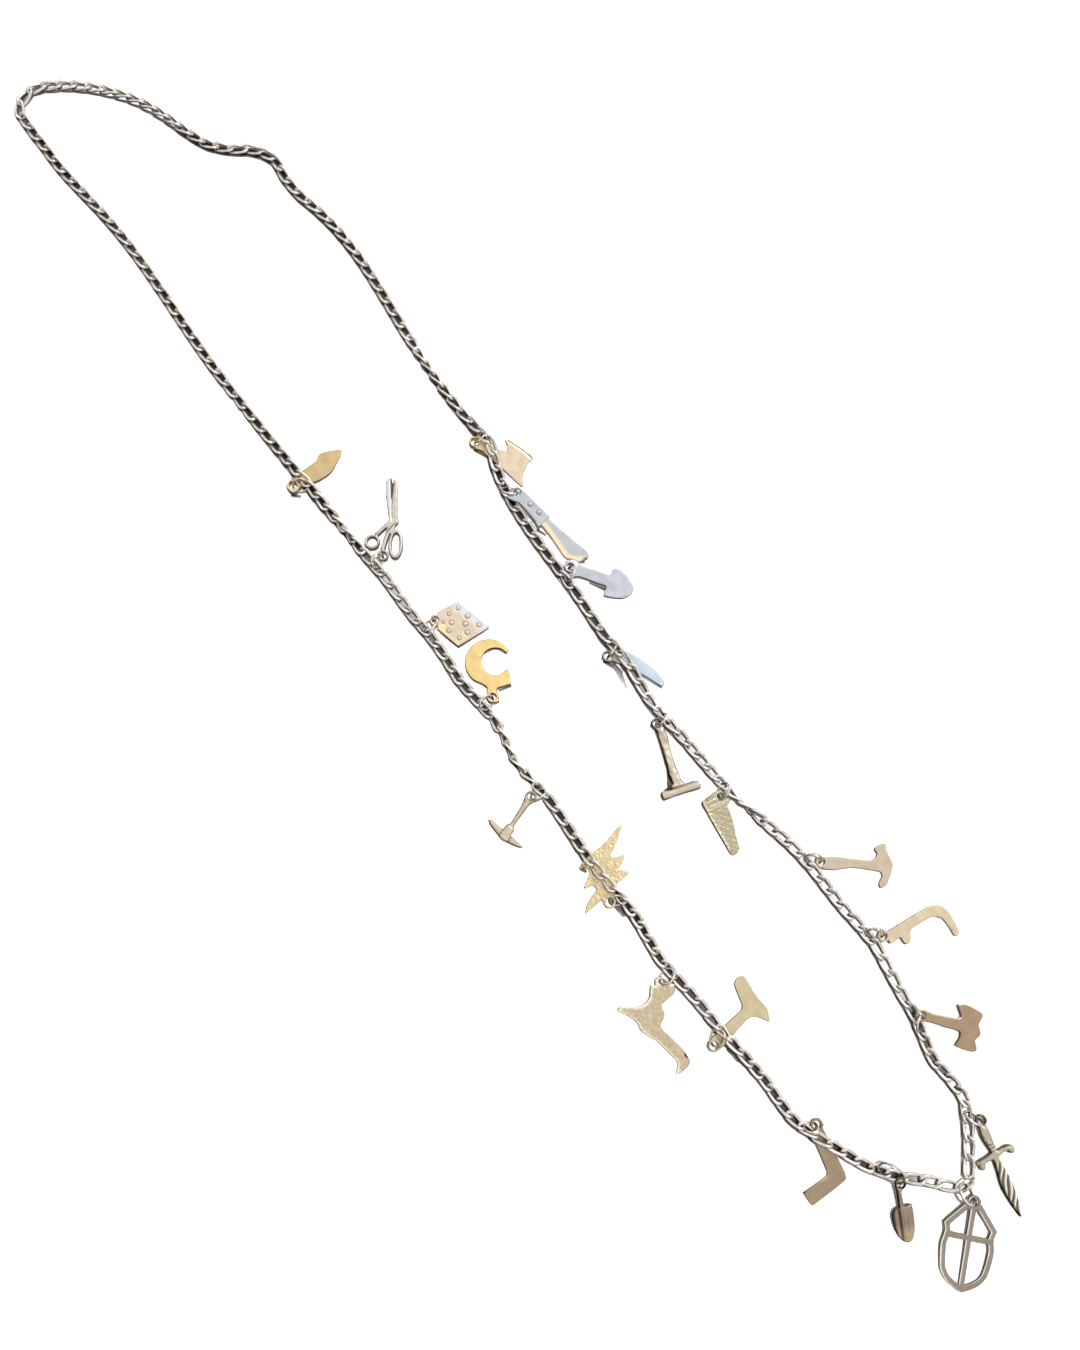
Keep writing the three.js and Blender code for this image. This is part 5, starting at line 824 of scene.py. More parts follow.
def dagger(P, d):
    x, y = P[:, 0], P[:, 1]
    blade = beyond(x, 11.0, 0.3)
    grip = 1 - beyond(x, 8.2, 0.2)
    flame = np.sin(2 * math.pi * (0.42 * x + 0.8 * y) / 1.25 + 1.0 * np.sin(0.9 * x))
    beads = np.exp(-(((x - 5.9) / 0.18) ** 2)) + np.exp(-(((x - 6.9) / 0.18) ** 2)) + np.exp(-(((x - 7.7) / 0.18) ** 2))
    cuts = np.exp(-(((x - 6.4) / 0.14) ** 2)) + np.exp(-(((x - 7.3) / 0.14) ** 2)) + np.exp(-(((x - 8.15) / 0.14) ** 2))
    h = pillow(d, 1.1, 0.75) + blade * 0.22 * flame * smoothstep(0.1, 0.6, d) + grip * (0.12 * beads - 0.15 * cuts + 0.1 * ripple(P, 1.4, 13))
    # shade: painted shade on the blade's facets turned away and in the grip's cuts, plus random tone on the grip; the
    # lit facets get a painted highlight
    shade = blade * 0.85 * smoothstep(0.1, 0.9, -flame) + grip * (0.7 * cuts + 0.35 * smoothstep(0.0, 0.8, ripple(P, 1.6, 33)))
    return h, np.clip(shade, 0, 1), blade * smoothstep(0.3, 0.9, flame)


def double_axe(P, d):
    horn, t = segment(P, (8.0, 5.6), (10.0, 2.7))
    painted_highlight = np.clip(np.exp(-((horn / 0.4) ** 2)) + 0.7 * facing("double_axe", P, -0.2, 1.0) * (1 - beyond(P[:, 0], 9.6, 0.3)), 0, 1)
    # a painted shade line beside the horn, and a painted highlight on it and along the upper edge
    return 0.03 * ripple(P, 5, 14), 0.55 * np.exp(-(((horn - 0.55) / 0.13) ** 2)), painted_highlight


def sickle(P, d):
    return 0.035 * ripple(P, 4, 15)


def claw_hammer(P, d):
    return 0.03 * ripple(P, 5, 17)


def hand_saw(P, d):
    x, y = P[:, 0], P[:, 1]
    block = 1 - beyond(x - 0.14 * (-y), 2.35, 0.08)
    h = 0.25 * block
    ribs = np.zeros(len(P))
    for a, b in (((2.0, 2.1), (2.9, -4.6)), ((1.35, 2.0), (1.9, -3.4)), ((0.3, -1.6), (0.7, -3.9)), ((-1.3, 0.9), (-0.9, -1.4))):
        s, t = segment(P, a, b)
        ribs = np.maximum(ribs, np.exp(-((s / 0.2) ** 2)))
    lip, t = path_distance(P, [(0.2, -5.1), (4.0, -4.5), (9.0, -3.4), (14.0, -2.2)])
    rim = np.exp(-(((lip - 0.35) / 0.2) ** 2))
    grain = ripple(P, 1.0, 18)
    h = h + 0.25 * ribs + 0.15 * rim + (1 - block) * (0.1 * grain + 0.06 * ripple(P, 0.6, 19))
    # dark: painted shade under the lip, with random darker tone in the grain; the ribs and the lip get a painted
    # highlight
    dark = 0.22 * (1 - block) * smoothstep(0.1, 0.8, -grain) + 0.85 * (1 - smoothstep(0.05, 0.2, lip)) * beyond(x, 3.6, 0.4) + 0.4 * block * smoothstep(0.2, 0.8, ripple(P, 1.5, 39)) * (1 - ribs)
    return h, np.clip(dark, 0, 1), np.clip(0.85 * ribs + 0.9 * rim + 0.35 * (1 - block) * smoothstep(0.1, 0.8, grain), 0, 1)


def sledge(P, d):
    x, y = P[:, 0], P[:, 1]
    handle = 1 - beyond(x, 18.0, 0.3)
    low = np.interp(x, [1, 8, 14, 18], [-1.0, -0.65, -0.5, -0.6])
    # under: painted shade along the lower side of the handle and painted shadow in the wedge by the head
    under = (1 - smoothstep(low - 0.1, low + 0.45, y)) * beyond(x, 0.8, 0.4) * (1 - beyond(x, 18.6, 0.2))
    under = np.maximum(under, (1 - smoothstep(-0.9, -0.5, y)) * beyond(x, 14.4, 0.6) * (1 - beyond(x, 18.6, 0.2)))
    return handle * (pillow(d, 0.95, 0.85) + 0.22 * ripple(P, 2.6, 20) * smoothstep(0.1, 0.6, d)), 0.9 * under


def knife(P, d):
    x, y = P[:, 0], P[:, 1]
    haft = 1 - beyond(x, 2.6, 0.3)
    edge = 1 - smoothstep(-1.0, 0.1, y - np.interp(x, [4, 10, 17.3], [-1.2, -0.7, -0.6]))
    # painted shade along the blade's lower edge
    return 0.25 * haft + 0.03 * ripple(P, 4, 21) - 0.15 * edge, 0.85 * edge * beyond(x, 9.5, 0.6), haft


def spade(P, d):
    neck = near(P, 0, 0, 1.9, 0.2)
    return 0.2 * neck + 0.03 * ripple(P, 4, 22)


def cleaver(P, d):
    x, y = P[:, 0], P[:, 1]
    handle = 1 - beyond(x, 11.2, 0.12)
    keen = [(11.3, -1.9), (15.5, -2.5), (19.0, -3.3), (22.2, -3.95), (23.6, -3.5), (25.6, -2.5), (26.8, -1.0)]
    s, t = path_distance(P, keen)
    bevel = (1 - smoothstep(1.15, 1.45, s)) * (1 - handle)
    lines = np.exp(-(((s - 0.45) / 0.13) ** 2)) + 0.8 * np.exp(-(((s - 1.2) / 0.1) ** 2))
    step, q = segment(P, (11.2, 1.6), (11.25, -3.0))
    notch = np.exp(-((step / 0.14) ** 2))
    rivets = np.zeros(len(P))
    for a in (4.9, 8.3):
        rivets = np.maximum(rivets, np.exp(-(((np.hypot(x - a, y - 0.05) - 0.74) / 0.12) ** 2)))
    h = 0.2 * handle - bevel * (0.2 * (1 - s / 1.4)) + 0.05 * lines * (1 - handle) - 0.12 * notch - 0.06 * rivets
    # painted shade in the notch, round the rivets, along a line of the bevel and at its far end
    dark = 0.3 * notch + 0.6 * rivets + 0.2 * np.exp(-(((s - 0.8) / 0.12) ** 2)) * (1 - handle) + 0.7 * smoothstep(25.6, 26.6, x) * bevel
    return h, np.clip(dark, 0, 1), bevel, 0.8 * np.exp(-(((s - 1.15) / 0.18) ** 2)) * (1 - handle)


def axe(P, d):
    x, y = P[:, 0], P[:, 1]
    eye = 1 - beyond(x, 3.6, 0.5)
    top = np.interp(x, [7.9, 10, 14, 17.3], [4.2, 3.9, 3.1, 1.7])
    keen = (1 - smoothstep(0.35, 0.6, top - y)) * beyond(x, 8.2, 0.2)
    # painted shade on the top bevel
    return eye * pillow(d, 0.7, 0.4) + 0.035 * ripple(P, 4, 24) - 0.2 * keen, 0.5 * keen, eye


RELIEF = {"machete": machete, "scissors": scissors, "diamond_plate": diamond, "crescent": crescent, "pickaxe": pickaxe,
          "burst_plate": burst, "notched_plate": notched, "adze": adze, "carpenters_square": square, "shovel": shovel, "shield": shield,
          "dagger": dagger, "double_axe": double_axe, "sickle": sickle, "claw_hammer": claw_hammer, "hand_saw": hand_saw,
          "sledge_hammer": sledge, "knife": knife, "spade": spade, "cleaver": cleaver, "axe": axe}
GRID = {"scissors": 0.22, "diamond_plate": 0.24, "pickaxe": 0.22, "burst_plate": 0.26, "shovel": 0.24, "shield": 0.24, "dagger": 0.2, "hand_saw": 0.24,
        "sledge_hammer": 0.24, "cleaver": 0.24, "axe": 0.26, "notched_plate": 0.28}
ROUND = {"pickaxe": (0.38, 0.6), "shovel": (0.38, 0.5), "shield": (0.1, 0.16), "dagger": (0.38, 0.6), "sledge_hammer": (0.38, 0.6), "scissors": (0.3, 0.42)}
THIN_EDGE = ("machete", "claw_hammer", "adze", "sickle", "double_axe", "burst_plate", "notched_plate", "hand_saw", "carpenters_square", "axe", "spade")
charms = {}
for k in CHARMS:
    edge, wide = ROUND.get(k, (0.12, 0.2) if k in THIN_EDGE else (0.24, 0.34))
    soup = plate(k, RELIEF[k], edge=edge, edge_wide=wide, grid=GRID.get(k, 0.34))
    T = CHARMS[k]["plate"]["t"] / 2
    if k == "diamond_plate":
        for x, y, r in BOSSES:
            dome(soup, x, y, T, r, 0.62 * r)
    if k == "cleaver":
        for x in (4.9, 8.3):
            dome(soup, x, 0.05, T + 0.2, 0.68, 0.42)
    if k == "scissors":
        dome(soup, 9.9, -3.4, T, 0.42, 0.18)
    if k == "dagger":
        rod(soup, [(9.0, 3.9, 0.3), (8.8, 2.4, 0.4), (9.2, 0.3, 0.5), (9.5, -1.6, 0.45), (9.6, -3.4, 0.35), (9.9, -4.4, 0.3)], [0.62, 0.58, 0.66, 0.6, 0.6, 0.62])
        dome(soup, 9.5, 4.3, 0.25, 1.0, 0.8)
        dome(soup, 10.8, -4.4, 0.25, 0.92, 0.75)
        dome(soup, 9.7, -5.0, 0.2, 0.6, 0.5)
    if k == "burst_plate":
        dome(soup, 11.7, 1.2, T, 0.75, 0.7)
    if k == "sledge_hammer":
        x0, y0, x1, y1, r = CHARMS[k]["plate"]["extra"][0]
        along = np.linspace(0, 1, 9)
        rod(soup, [(x0 + (x1 - x0) * t, y0 + (y1 - y0) * t, 0.3) for t in along], [1.2, 1.22, 1.12, 1.08, 1.12, 1.08, 1.1, 1.2, 1.18], n=20)
    charms[k] = soup.object("charm_" + k, placed(k))



# ------------------------------------------------------------------ metals
def nodes_of(name):
    m = bpy.data.materials.new(name)
    m.use_nodes = True
    t = m.node_tree
    t.nodes.clear()
    out = t.nodes.new("ShaderNodeOutputMaterial")
    b = t.nodes.new("ShaderNodeBsdfPrincipled")
    t.links.new(b.outputs[0], out.inputs[0])
    return m, t, b


def node(t, kind, **values):
    n = t.nodes.new(kind)
    for k, v in values.items():
        if k in n.inputs:
            n.inputs[k].default_value = v
        else:
            setattr(n, k, v)
    return n


def ramp(t, source, a, b, lo=0.0, hi=1.0):
    n = t.nodes.new("ShaderNodeMapRange")
    n.interpolation_type = "SMOOTHSTEP"
    for i, v in zip(("From Min", "From Max", "To Min", "To Max"), (a, b, lo, hi)):
        n.inputs[i].default_value = v
    t.links.new(source, n.inputs["Value"])
    return n.outputs[0]


def mix(t, fac, a, b, how="MIX"):
    n = t.nodes.new("ShaderNodeMix")
    n.data_type = "RGBA"
    n.blend_type = how
    for s, v in ((n.inputs[0], fac), (n.inputs[6], a), (n.inputs[7], b)):
        if isinstance(v, bpy.types.NodeSocket):
            t.links.new(v, s)
        else:
            s.default_value = v if not isinstance(v, (tuple, list)) else tuple(v) + (1,) * (4 - len(v))
    return n.outputs[2]


def math_node(t, op, a, b=None):
    n = t.nodes.new("ShaderNodeMath")
    n.operation = op
    for i, v in ((0, a), (1, b)):
        if v is None:
            continue
        if isinstance(v, bpy.types.NodeSocket):
            t.links.new(v, n.inputs[i])
        else:
            n.inputs[i].default_value = v
    return n.outputs[0]


def mapped(t, scale, offset=(0, 0, 0)):
    c = t.nodes.new("ShaderNodeTexCoord")
    m = t.nodes.new("ShaderNodeMapping")
    m.inputs["Scale"].default_value = tuple(1000 * s for s in scale)
    m.inputs["Location"].default_value = offset
    t.links.new(c.outputs["Object"], m.inputs["Vector"])
    return m.outputs[0]


def noise(t, vec, scale, detail=3, rough=0.55):
    n = t.nodes.new("ShaderNodeTexNoise")
    n.inputs["Scale"].default_value = scale
    n.inputs["Detail"].default_value = detail
    n.inputs["Roughness"].default_value = rough
    t.links.new(vec, n.inputs["Vector"])
    return n.outputs[0]


def attribute(t, name):
    n = t.nodes.new("ShaderNodeAttribute")
    n.attribute_name = name
    return n.outputs["Fac"]


def wire_metal(name, light, dark, rough, inner=0.8):
    """Drawn wire: bright on the outside, with painted shade where it faces the middle of the loop, and dark in the
    worn-in blotches.
    """
    m, t, b = nodes_of(name)
    b.inputs["Metallic"].default_value = 1.0
    v = mapped(t, (1, 1, 1))
    n1 = noise(t, v, 0.9, 3)
    n2 = noise(t, v, 6.0, 2)
    tone = attribute(t, "tone")
    base = mix(t, ramp(t, n1, 0.38, 0.66), light, tuple(0.80 * x + 0.2 * y for x, y in zip(light, dark)))
    base = mix(t, ramp(t, tone, 0.0, 1.0, 0.0, 0.16), base, dark)
    # painted shade, near black, on the side of the wire that faces the middle of the link
    inn = ramp(t, attribute(t, "inner"), 0.64, 1.0, 0.0, inner)
    base = mix(t, inn, base, dark)
    t.links.new(base, b.inputs["Base Color"])
    r = ramp(t, n2, 0.3, 0.7, rough - 0.05, rough + 0.1)
    t.links.new(r, b.inputs["Roughness"])
    bump = node(t, "ShaderNodeBump", Strength=0.35, Distance=0.00003)
    t.links.new(noise(t, v, 9.0, 2), bump.inputs["Height"])
    t.links.new(bump.outputs[0], b.inputs["Normal"])
    return m


CHAIN_METAL = wire_metal("chain_silver", (0.86, 0.815, 0.755), (0.03, 0.02, 0.018), 0.2, 0.92)
RING_METAL = wire_metal("ring_silver", (0.84, 0.80, 0.72), (0.10, 0.08, 0.06), 0.18, 0.7)

# charm: colour, second tone, roughness, relief of the skin (kind, size mm, depth mm), how much painted shade on the rim
# and walls
LOOK = {
    "machete": ((0.633, 0.475, 0.254), (0.569, 0.427, 0.229), 0.32, ('soft', 0.9, 0.03), 0.05),
    "scissors": ((0.652, 0.598, 0.534), (0.587, 0.539, 0.482), 0.32, ('soft', 0.9, 0.03), 0.6),
    "diamond_plate": ((0.755, 0.635, 0.495), (0.681, 0.572, 0.446), 0.32, ('soft', 0.9, 0.03), 0.6),
    "crescent": ((0.887, 0.668, 0.304), (0.798, 0.602, 0.273), 0.32, ('soft', 0.9, 0.03), 1.0),
    "pickaxe": ((0.735, 0.627, 0.462), (0.661, 0.565, 0.416), 0.32, ('soft', 0.9, 0.03), 0.35),
    "burst_plate": ((0.776, 0.636, 0.385), (0.699, 0.573, 0.347), 0.32, ('pebble', 0.75, 0.12), 0.25),
    "notched_plate": ((0.642, 0.524, 0.368), (0.578, 0.472, 0.331), 0.32, ('pebble', 0.75, 0.12), 0.12),
    "adze": ((0.653, 0.543, 0.358), (0.587, 0.489, 0.322), 0.32, ('soft', 0.9, 0.03), 0.25),
    "carpenters_square": ((0.4, 0.307, 0.205), (0.36, 0.277, 0.184), 0.32, ('brushed', 0.4, 0.03), 0.2),
    "shovel": ((0.359, 0.268, 0.202), (0.324, 0.241, 0.181), 0.32, ('soft', 0.9, 0.03), 0.6),
    "shield": ((0.346, 0.296, 0.241), (0.311, 0.266, 0.218), 0.32, ('soft', 0.9, 0.03), 0.45),
    "dagger": ((0.545, 0.477, 0.372), (0.491, 0.429, 0.335), 0.32, ('soft', 0.9, 0.03), 0.7),
    "double_axe": ((0.433, 0.309, 0.207), (0.39, 0.277, 0.186), 0.32, ('brushed', 0.4, 0.03), 0.2),
    "sickle": ((0.689, 0.573, 0.411), (0.62, 0.515, 0.37), 0.32, ('soft', 0.9, 0.03), 0.25),
    "claw_hammer": ((0.609, 0.516, 0.401), (0.549, 0.465, 0.361), 0.32, ('brushed', 0.4, 0.03), 0.08),
    "hand_saw": ((0.513, 0.453, 0.312), (0.462, 0.407, 0.281), 0.32, ('pebble', 0.75, 0.12), 0.25),
    "sledge_hammer": ((0.677, 0.589, 0.475), (0.61, 0.53, 0.427), 0.32, ('soft', 0.9, 0.03), 0.8),
    "knife": ((0.578, 0.67, 0.788), (0.52, 0.602, 0.71), 0.32, ('brushed', 0.4, 0.03), 0.6),
    "spade": ((0.527, 0.564, 0.63), (0.475, 0.507, 0.566), 0.32, ('brushed', 0.4, 0.03), 0.6),
    "cleaver": ((0.535, 0.554, 0.598), (0.482, 0.498, 0.537), 0.32, ('brushed', 0.4, 0.03), 0.6),
    "axe": ((0.753, 0.622, 0.475), (0.678, 0.56, 0.427), 0.32, ('soft', 0.9, 0.03), 0.35),
}

# the other colour of a charm: its own second tone on most, a painted highlight on notched_plate, hand_saw, double_axe,
# carpenters_square, shield and dagger
SECOND_TONE_AND_HIGHLIGHT = {"scissors": (0.66, 0.71, 0.80), "diamond_plate": (0.70, 0.735, 0.78), "cleaver": (0.97, 0.83, 0.64), "axe": (0.75, 0.60, 0.34),
          "machete": (0.72, 0.62, 0.46), "knife": (0.42, 0.36, 0.30), "notched_plate": (1.0, 0.95, 0.78), "hand_saw": (0.90, 0.85, 0.66),
          "double_axe": (0.92, 0.88, 0.78), "carpenters_square": (0.85, 0.78, 0.66), "shield": (0.98, 0.93, 0.82), "dagger": (0.98, 0.95, 0.80)}


def charm_metal(k):
    colour, second, rough, skin, rim_shade = LOOK[k]
    seed = float(sum(ord(ch) for ch in k) % 97)
    m, t, b = nodes_of("metal_" + k)
    b.inputs["Metallic"].default_value = 1.0
    v = mapped(t, (1, 1, 1), (seed, seed * 0.37, 0))
    n1 = noise(t, v, 0.32, 4)
    n2 = noise(t, v, 2.2, 4, 0.6)
    streak = noise(t, mapped(t, (0.25, 5.0, 2.0), (seed, 0, 0)), 1.0, 4, 0.6)
    base = mix(t, ramp(t, n1, 0.36, 0.66), colour, second)
    base = mix(t, ramp(t, n2, 0.45, 0.75, 0.0, 0.3), base, tuple(0.72 * x for x in second))
    base = mix(t, ramp(t, streak, 0.5, 0.72, 0.0, 0.22), base, tuple(min(1, 1.15 * x) for x in colour))
    # second tone, or painted highlight where the relief marks lit edges and facets
    if k in SECOND_TONE_AND_HIGHLIGHT:
        base = mix(t, attribute(t, "second"), base, SECOND_TONE_AND_HIGHLIGHT[k])
    base = mix(t, attribute(t, "gilt"), base, (0.98, 0.78, 0.42))
    if LOOK[k][3][0] == "pebble":
        grain = noise(t, v, 1.5, 2, 0.5)
        base = mix(t, ramp(t, grain, 0.5, 0.72, 0.0, 0.55), base, tuple(min(1, 1.3 * x) for x in colour))
        base = mix(t, ramp(t, grain, 0.28, 0.48, 0.4, 0.0), base, tuple(0.6 * x for x in colour))
    # near-black copy of the colour, painted as shade on the rim, the walls and in recesses
    dark = tuple(a * x + b for x, a, b in zip(colour, (0.045, 0.036, 0.03), (0.008, 0.005, 0.004)))
    base = mix(t, ramp(t, attribute(t, "rim"), 0.25, 1.0, 0.0, rim_shade), base, dark)
    # painted shade in grooves, gaps and under ledges, with some random darker tone
    base = mix(t, ramp(t, attribute(t, "cavity"), 0.0, 1.0, 0.0, 0.9), base, dark)
    base = mix(t, ramp(t, attribute(t, "side"), 0.55, 1.0, 0.0, max(0.15, rim_shade)), base, dark)
    t.links.new(base, b.inputs["Base Color"])
    t.links.new(ramp(t, n2, 0.3, 0.7, rough - 0.05, rough + 0.12), b.inputs["Roughness"])
    kind, size, depth = skin
    first = node(t, "ShaderNodeBump", Strength=0.5, Distance=0.00002)
    t.links.new(streak, first.inputs["Height"])
    last = node(t, "ShaderNodeBump", Strength=1.0, Distance=depth * MM)
    if kind == "pebble":
        vo = t.nodes.new("ShaderNodeTexVoronoi")
        vo.feature = "SMOOTH_F1"
        vo.inputs["Scale"].default_value = 1 / size
        vo.inputs["Smoothness"].default_value = 0.6
        t.links.new(v, vo.inputs["Vector"])
        h = math_node(t, "SUBTRACT", 1.0, vo.outputs["Distance"])
    elif kind == "brushed":
        h = noise(t, mapped(t, (0.15 / size, 1.6 / size, 1.0), (seed, 1.7, 0)), 1.0, 5, 0.65)
    else:
        h = noise(t, v, 1 / size, 3, 0.5)
    t.links.new(h, last.inputs["Height"])
    t.links.new(first.outputs[0], last.inputs["Normal"])
    t.links.new(last.outputs[0], b.inputs["Normal"])
    return m


# ------------------------------------------------------------------ what rides on what
for name, ob in links.items():
    ob.data.materials.append(CHAIN_METAL)
    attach(ob, name)
    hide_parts(name)
for k, ob in rings.items():
    ob.data.materials.append(RING_METAL)
    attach(ob, "ring_" + k)
    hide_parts("ring_" + k)
for k, ob in charms.items():
    ob.data.materials.append(charm_metal(k))
    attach(ob, k)
    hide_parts(k)

# ------------------------------------------------------------------ table, light, camera
TABLE = (0.9, 0.9, 0.905)
floor_mesh = bpy.data.meshes.new("table_top")
floor_mesh.from_pydata([(-6, -6, 0), (6, -6, 0), (6, 6, 0), (-6, 6, 0)], [], [(0, 1, 2, 3)])
floor = bpy.data.objects.new("table_top", floor_mesh)
bpy.context.scene.collection.objects.link(floor)
floor.location.z = -0.00002
floor.visible_glossy = False  # the metal mirrors the room, not the white table
fm, ft, fb = nodes_of("table_white")
fb.inputs["Base Color"].default_value = TABLE + (1,)
fb.inputs["Roughness"].default_value = 0.9
fb.inputs["Specular IOR Level"].default_value = 0.0
floor.data.materials.append(fm)

# painted shadow on the table right under the chain, where hardly any light gets in: [place along the chain, how dark]
SHADE = [(0, 0.9), (10, 1.0), (28, 1.0), (40, 0.97), (60, 0.97), (75, 1.0), (170, 1.0), (180, 0.6), (197, 0.75), (206, 0.97), (300, 1.0), (318, 0.97), (330, 0.9),
         (345, 0.97), (395, 0.97), (405, 0.2), (436, 0.0), (441, 0.9), (458, 0.95), (468, 0.2), (520, 0.15), (530, 0.35), (545, 0.4), (560, 0.55), (573, 0.8), (590, 0.97),
         (640, 1.0), (655, 0.97), (790, 1.0), (797, 0.25), (820, 0.05), (832, 0.1), (838, 0.8), (TOTAL, 0.9)]
# deeper painted shadows on the table: [charm, x, y, x, y in the charm's frame, radius at each end]
SPOTS = [("spade", 6.6, -2.2, 11.2, -2.5, 0.15, 0.5), ("knife", 9.5, -0.35, 16.9, -0.7, 0.05, 0.15), ("knife", -0.4, -1.7, 2.5, -1.5, 0.25, 0.7),
         ("knife", 2.5, -1.3, 5.0, -2.4, 0.7, 0.75), ("knife", 5.0, -2.7, 8.4, -5.2, 0.75, 0.3), ("diamond_plate", 1.5, -3.5, 6.4, -7.4, 0.02, 0.12),
         ("diamond_plate", 6.6, -7.3, 14.8, -2.0, 0.08, 0.02), ("cleaver", 11.2, -3.3, 13.6, -2.9, 0.4, 0.2), ("cleaver", 24.6, -3.6, 26.9, -1.2, 0.05, 0.15),
         ("axe", 0.6, -2.0, 4.6, -2.4, 0.2, 0.25), ("adze", 2.3, -3.6, 2.3, -7.0, 0.5, 0.5), ("burst_plate", -4.6, -1.5, -0.2, -0.7, 0.6, 0.5),
         ("burst_plate", 10.3, 1.6, 11.3, 2.2, 0.4, 0.5), ("machete", -1.9, -1.5, -0.4, -3.0, 0.3, 0.4), ("crescent", 3.0, 1.6, 6.6, 6.6, 0.2, 0.3),
         ("crescent", 2.3, -1.6, 3.7, -4.6, 0.2, 0.25), ("crescent", 12.4, 3.2, 13.7, 1.0, 0.1, 0.15), ("crescent", 13.7, 1.0, 13.7, -0.6, 0.15, 0.15), ("crescent", 13.7, -0.6, 12.6, -2.6, 0.15, 0.1),
         ("sledge_hammer", 13.0, -0.35, 17.6, -0.9, 0.15, 0.75)]
pitch = 0.26
x0, y0 = LINE[:, 0].min() - 4, LINE[:, 1].min() - 8
nx, ny = int((LINE[:, 0].max() + 30 - x0) / pitch), int((LINE[:, 1].max() + 4 - y0) / pitch)
near_chain = np.zeros((nx, ny), bool)
spots_mm = []
for k, a, b, c, d, r0, r1 in SPOTS:
    p = CHARMS[k]["plate"]
    A, B = ((p["at"][0] + x * p["dir"][0] - y * p["dir"][1], p["at"][1] + x * p["dir"][1] + y * p["dir"][0]) for x, y in ((a, b), (c, d)))
    spots_mm.append((np.array(A), np.array(B), r0, r1))
marks = [(p, 11) for p in LINE[::6, :2]] + [(A + (B - A) * t, 6) for A, B, _, _ in spots_mm for t in np.linspace(0, 1, 12)]
for p, reach in marks:
    a, b = int((p[0] - x0) / pitch), int((p[1] - y0) / pitch)
    near_chain[max(a - reach, 0) : a + reach + 1, max(b - reach, 0) : b + reach + 1] = True
ci, cj = np.nonzero(near_chain[:-1, :-1] & near_chain[1:, :-1] & near_chain[:-1, 1:] & near_chain[1:, 1:])
corner_index = -np.ones((nx, ny), int)
vi, vj = np.nonzero(near_chain)
corner_index[vi, vj] = np.arange(len(vi))
Q = np.stack([x0 + vi * pitch, y0 + vj * pitch], 1)
C = LINE[::4]
tree = KDTree(len(C))
for i, p in enumerate(C):
    tree.insert((p[0], p[1], 0), i)
tree.balance()
found = np.array([tree.find((x, y, 0))[1] for x, y in Q])
ahead = (np.roll(C, -1, 0) - np.roll(C, 1, 0))[:, :2]
left = np.stack([-ahead[:, 1], ahead[:, 0]], 1) / np.linalg.norm(ahead, axis=1)[:, None]
left *= np.where(left[:, :1] > 0, -1.0, 1.0)  # the side away from the light
off = Q - C[found, :2]
lateral = (off * left[found]).sum(1)
amount = np.interp(ARC[found * 4], [q[0] for q in SHADE], [q[1] for q in SHADE])
lying = np.cos(np.radians([roll_base(a) for a in ARC[found * 4]]))
dark = amount * (1 - smoothstep(0.85, 1.45, np.linalg.norm(off - 0.25 * left[found], axis=1) / (0.62 + 0.38 * lying)))
# a painted shadow line along the side of the chain away from the light
line = 0.93 * lying**2 * np.exp(-(((lateral - 1.62 * lying) / 0.33) ** 2)) * (np.linalg.norm(off, axis=1) < 2.4) * np.clip(-left[found, 0] * 1.6 - 0.2, 0, 1)
dark = np.maximum(dark, line)
for A, B, r0, r1 in spots_mm:
    d, t = segment(Q, A, B)
    r = r0 + (r1 - r0) * t
    dark = np.maximum(dark, 0.93 * (1 - smoothstep(0.0, 0.28, d - r)))
spots = np.column_stack([Q[:, 0] + SHIFT[0], Q[:, 1] + SHIFT[1], np.full(len(Q), -0.012)])
shade = mesh_object("painted_shadow_under_chain", spots, [(int(corner_index[i, j]), int(corner_index[i + 1, j]), int(corner_index[i + 1, j + 1]), int(corner_index[i, j + 1])) for i, j in zip(ci, cj)], None, {"dark": dark.tolist()}, smooth=False)
sm, st, sb = nodes_of("table_white_shaded")
near_metal = st.nodes.new("ShaderNodeAmbientOcclusion")  # the shade is only there while the metal is close above
near_metal.samples = 8
near_metal.inputs["Distance"].default_value = 0.005
gate = ramp(st, near_metal.outputs["AO"], 0.84, 0.98, 1.0, 0.0)
st.links.new(mix(st, math_node(st, "MULTIPLY", attribute(st, "dark"), gate), TABLE, (0.022, 0.014, 0.012)), sb.inputs["Base Color"])
sb.inputs["Roughness"].default_value = 0.9
sb.inputs["Specular IOR Level"].default_value = 0.0
shade.data.materials.append(sm)
shade.visible_glossy = False

# pale wall round the table, far away
wall_mesh = bpy.data.meshes.new("wall")
ring_pts = [(5.9 * math.cos(a), 5.9 * math.sin(a)) for a in np.arange(64) * 2 * math.pi / 64]
wall_mesh.from_pydata([(x, y, -0.01) for x, y in ring_pts] + [(x, y, 8.0) for x, y in ring_pts], [], [(i, (i + 1) % 64, 64 + (i + 1) % 64, 64 + i) for i in range(64)])
wall = bpy.data.objects.new("wall", wall_mesh)
bpy.context.scene.collection.objects.link(wall)
wm, wmt, wmb = nodes_of("wall_white")
wmt.nodes.remove(wmb)
em = wmt.nodes.new("ShaderNodeEmission")
em.inputs["Color"].default_value = (0.9, 0.9, 0.905, 1)
em.inputs["Strength"].default_value = 1.0
wmt.links.new(em.outputs[0], wmt.nodes["Material Output"].inputs[0])
wall.data.materials.append(wm)
wall.visible_diffuse = wall.visible_glossy = wall.visible_shadow = False

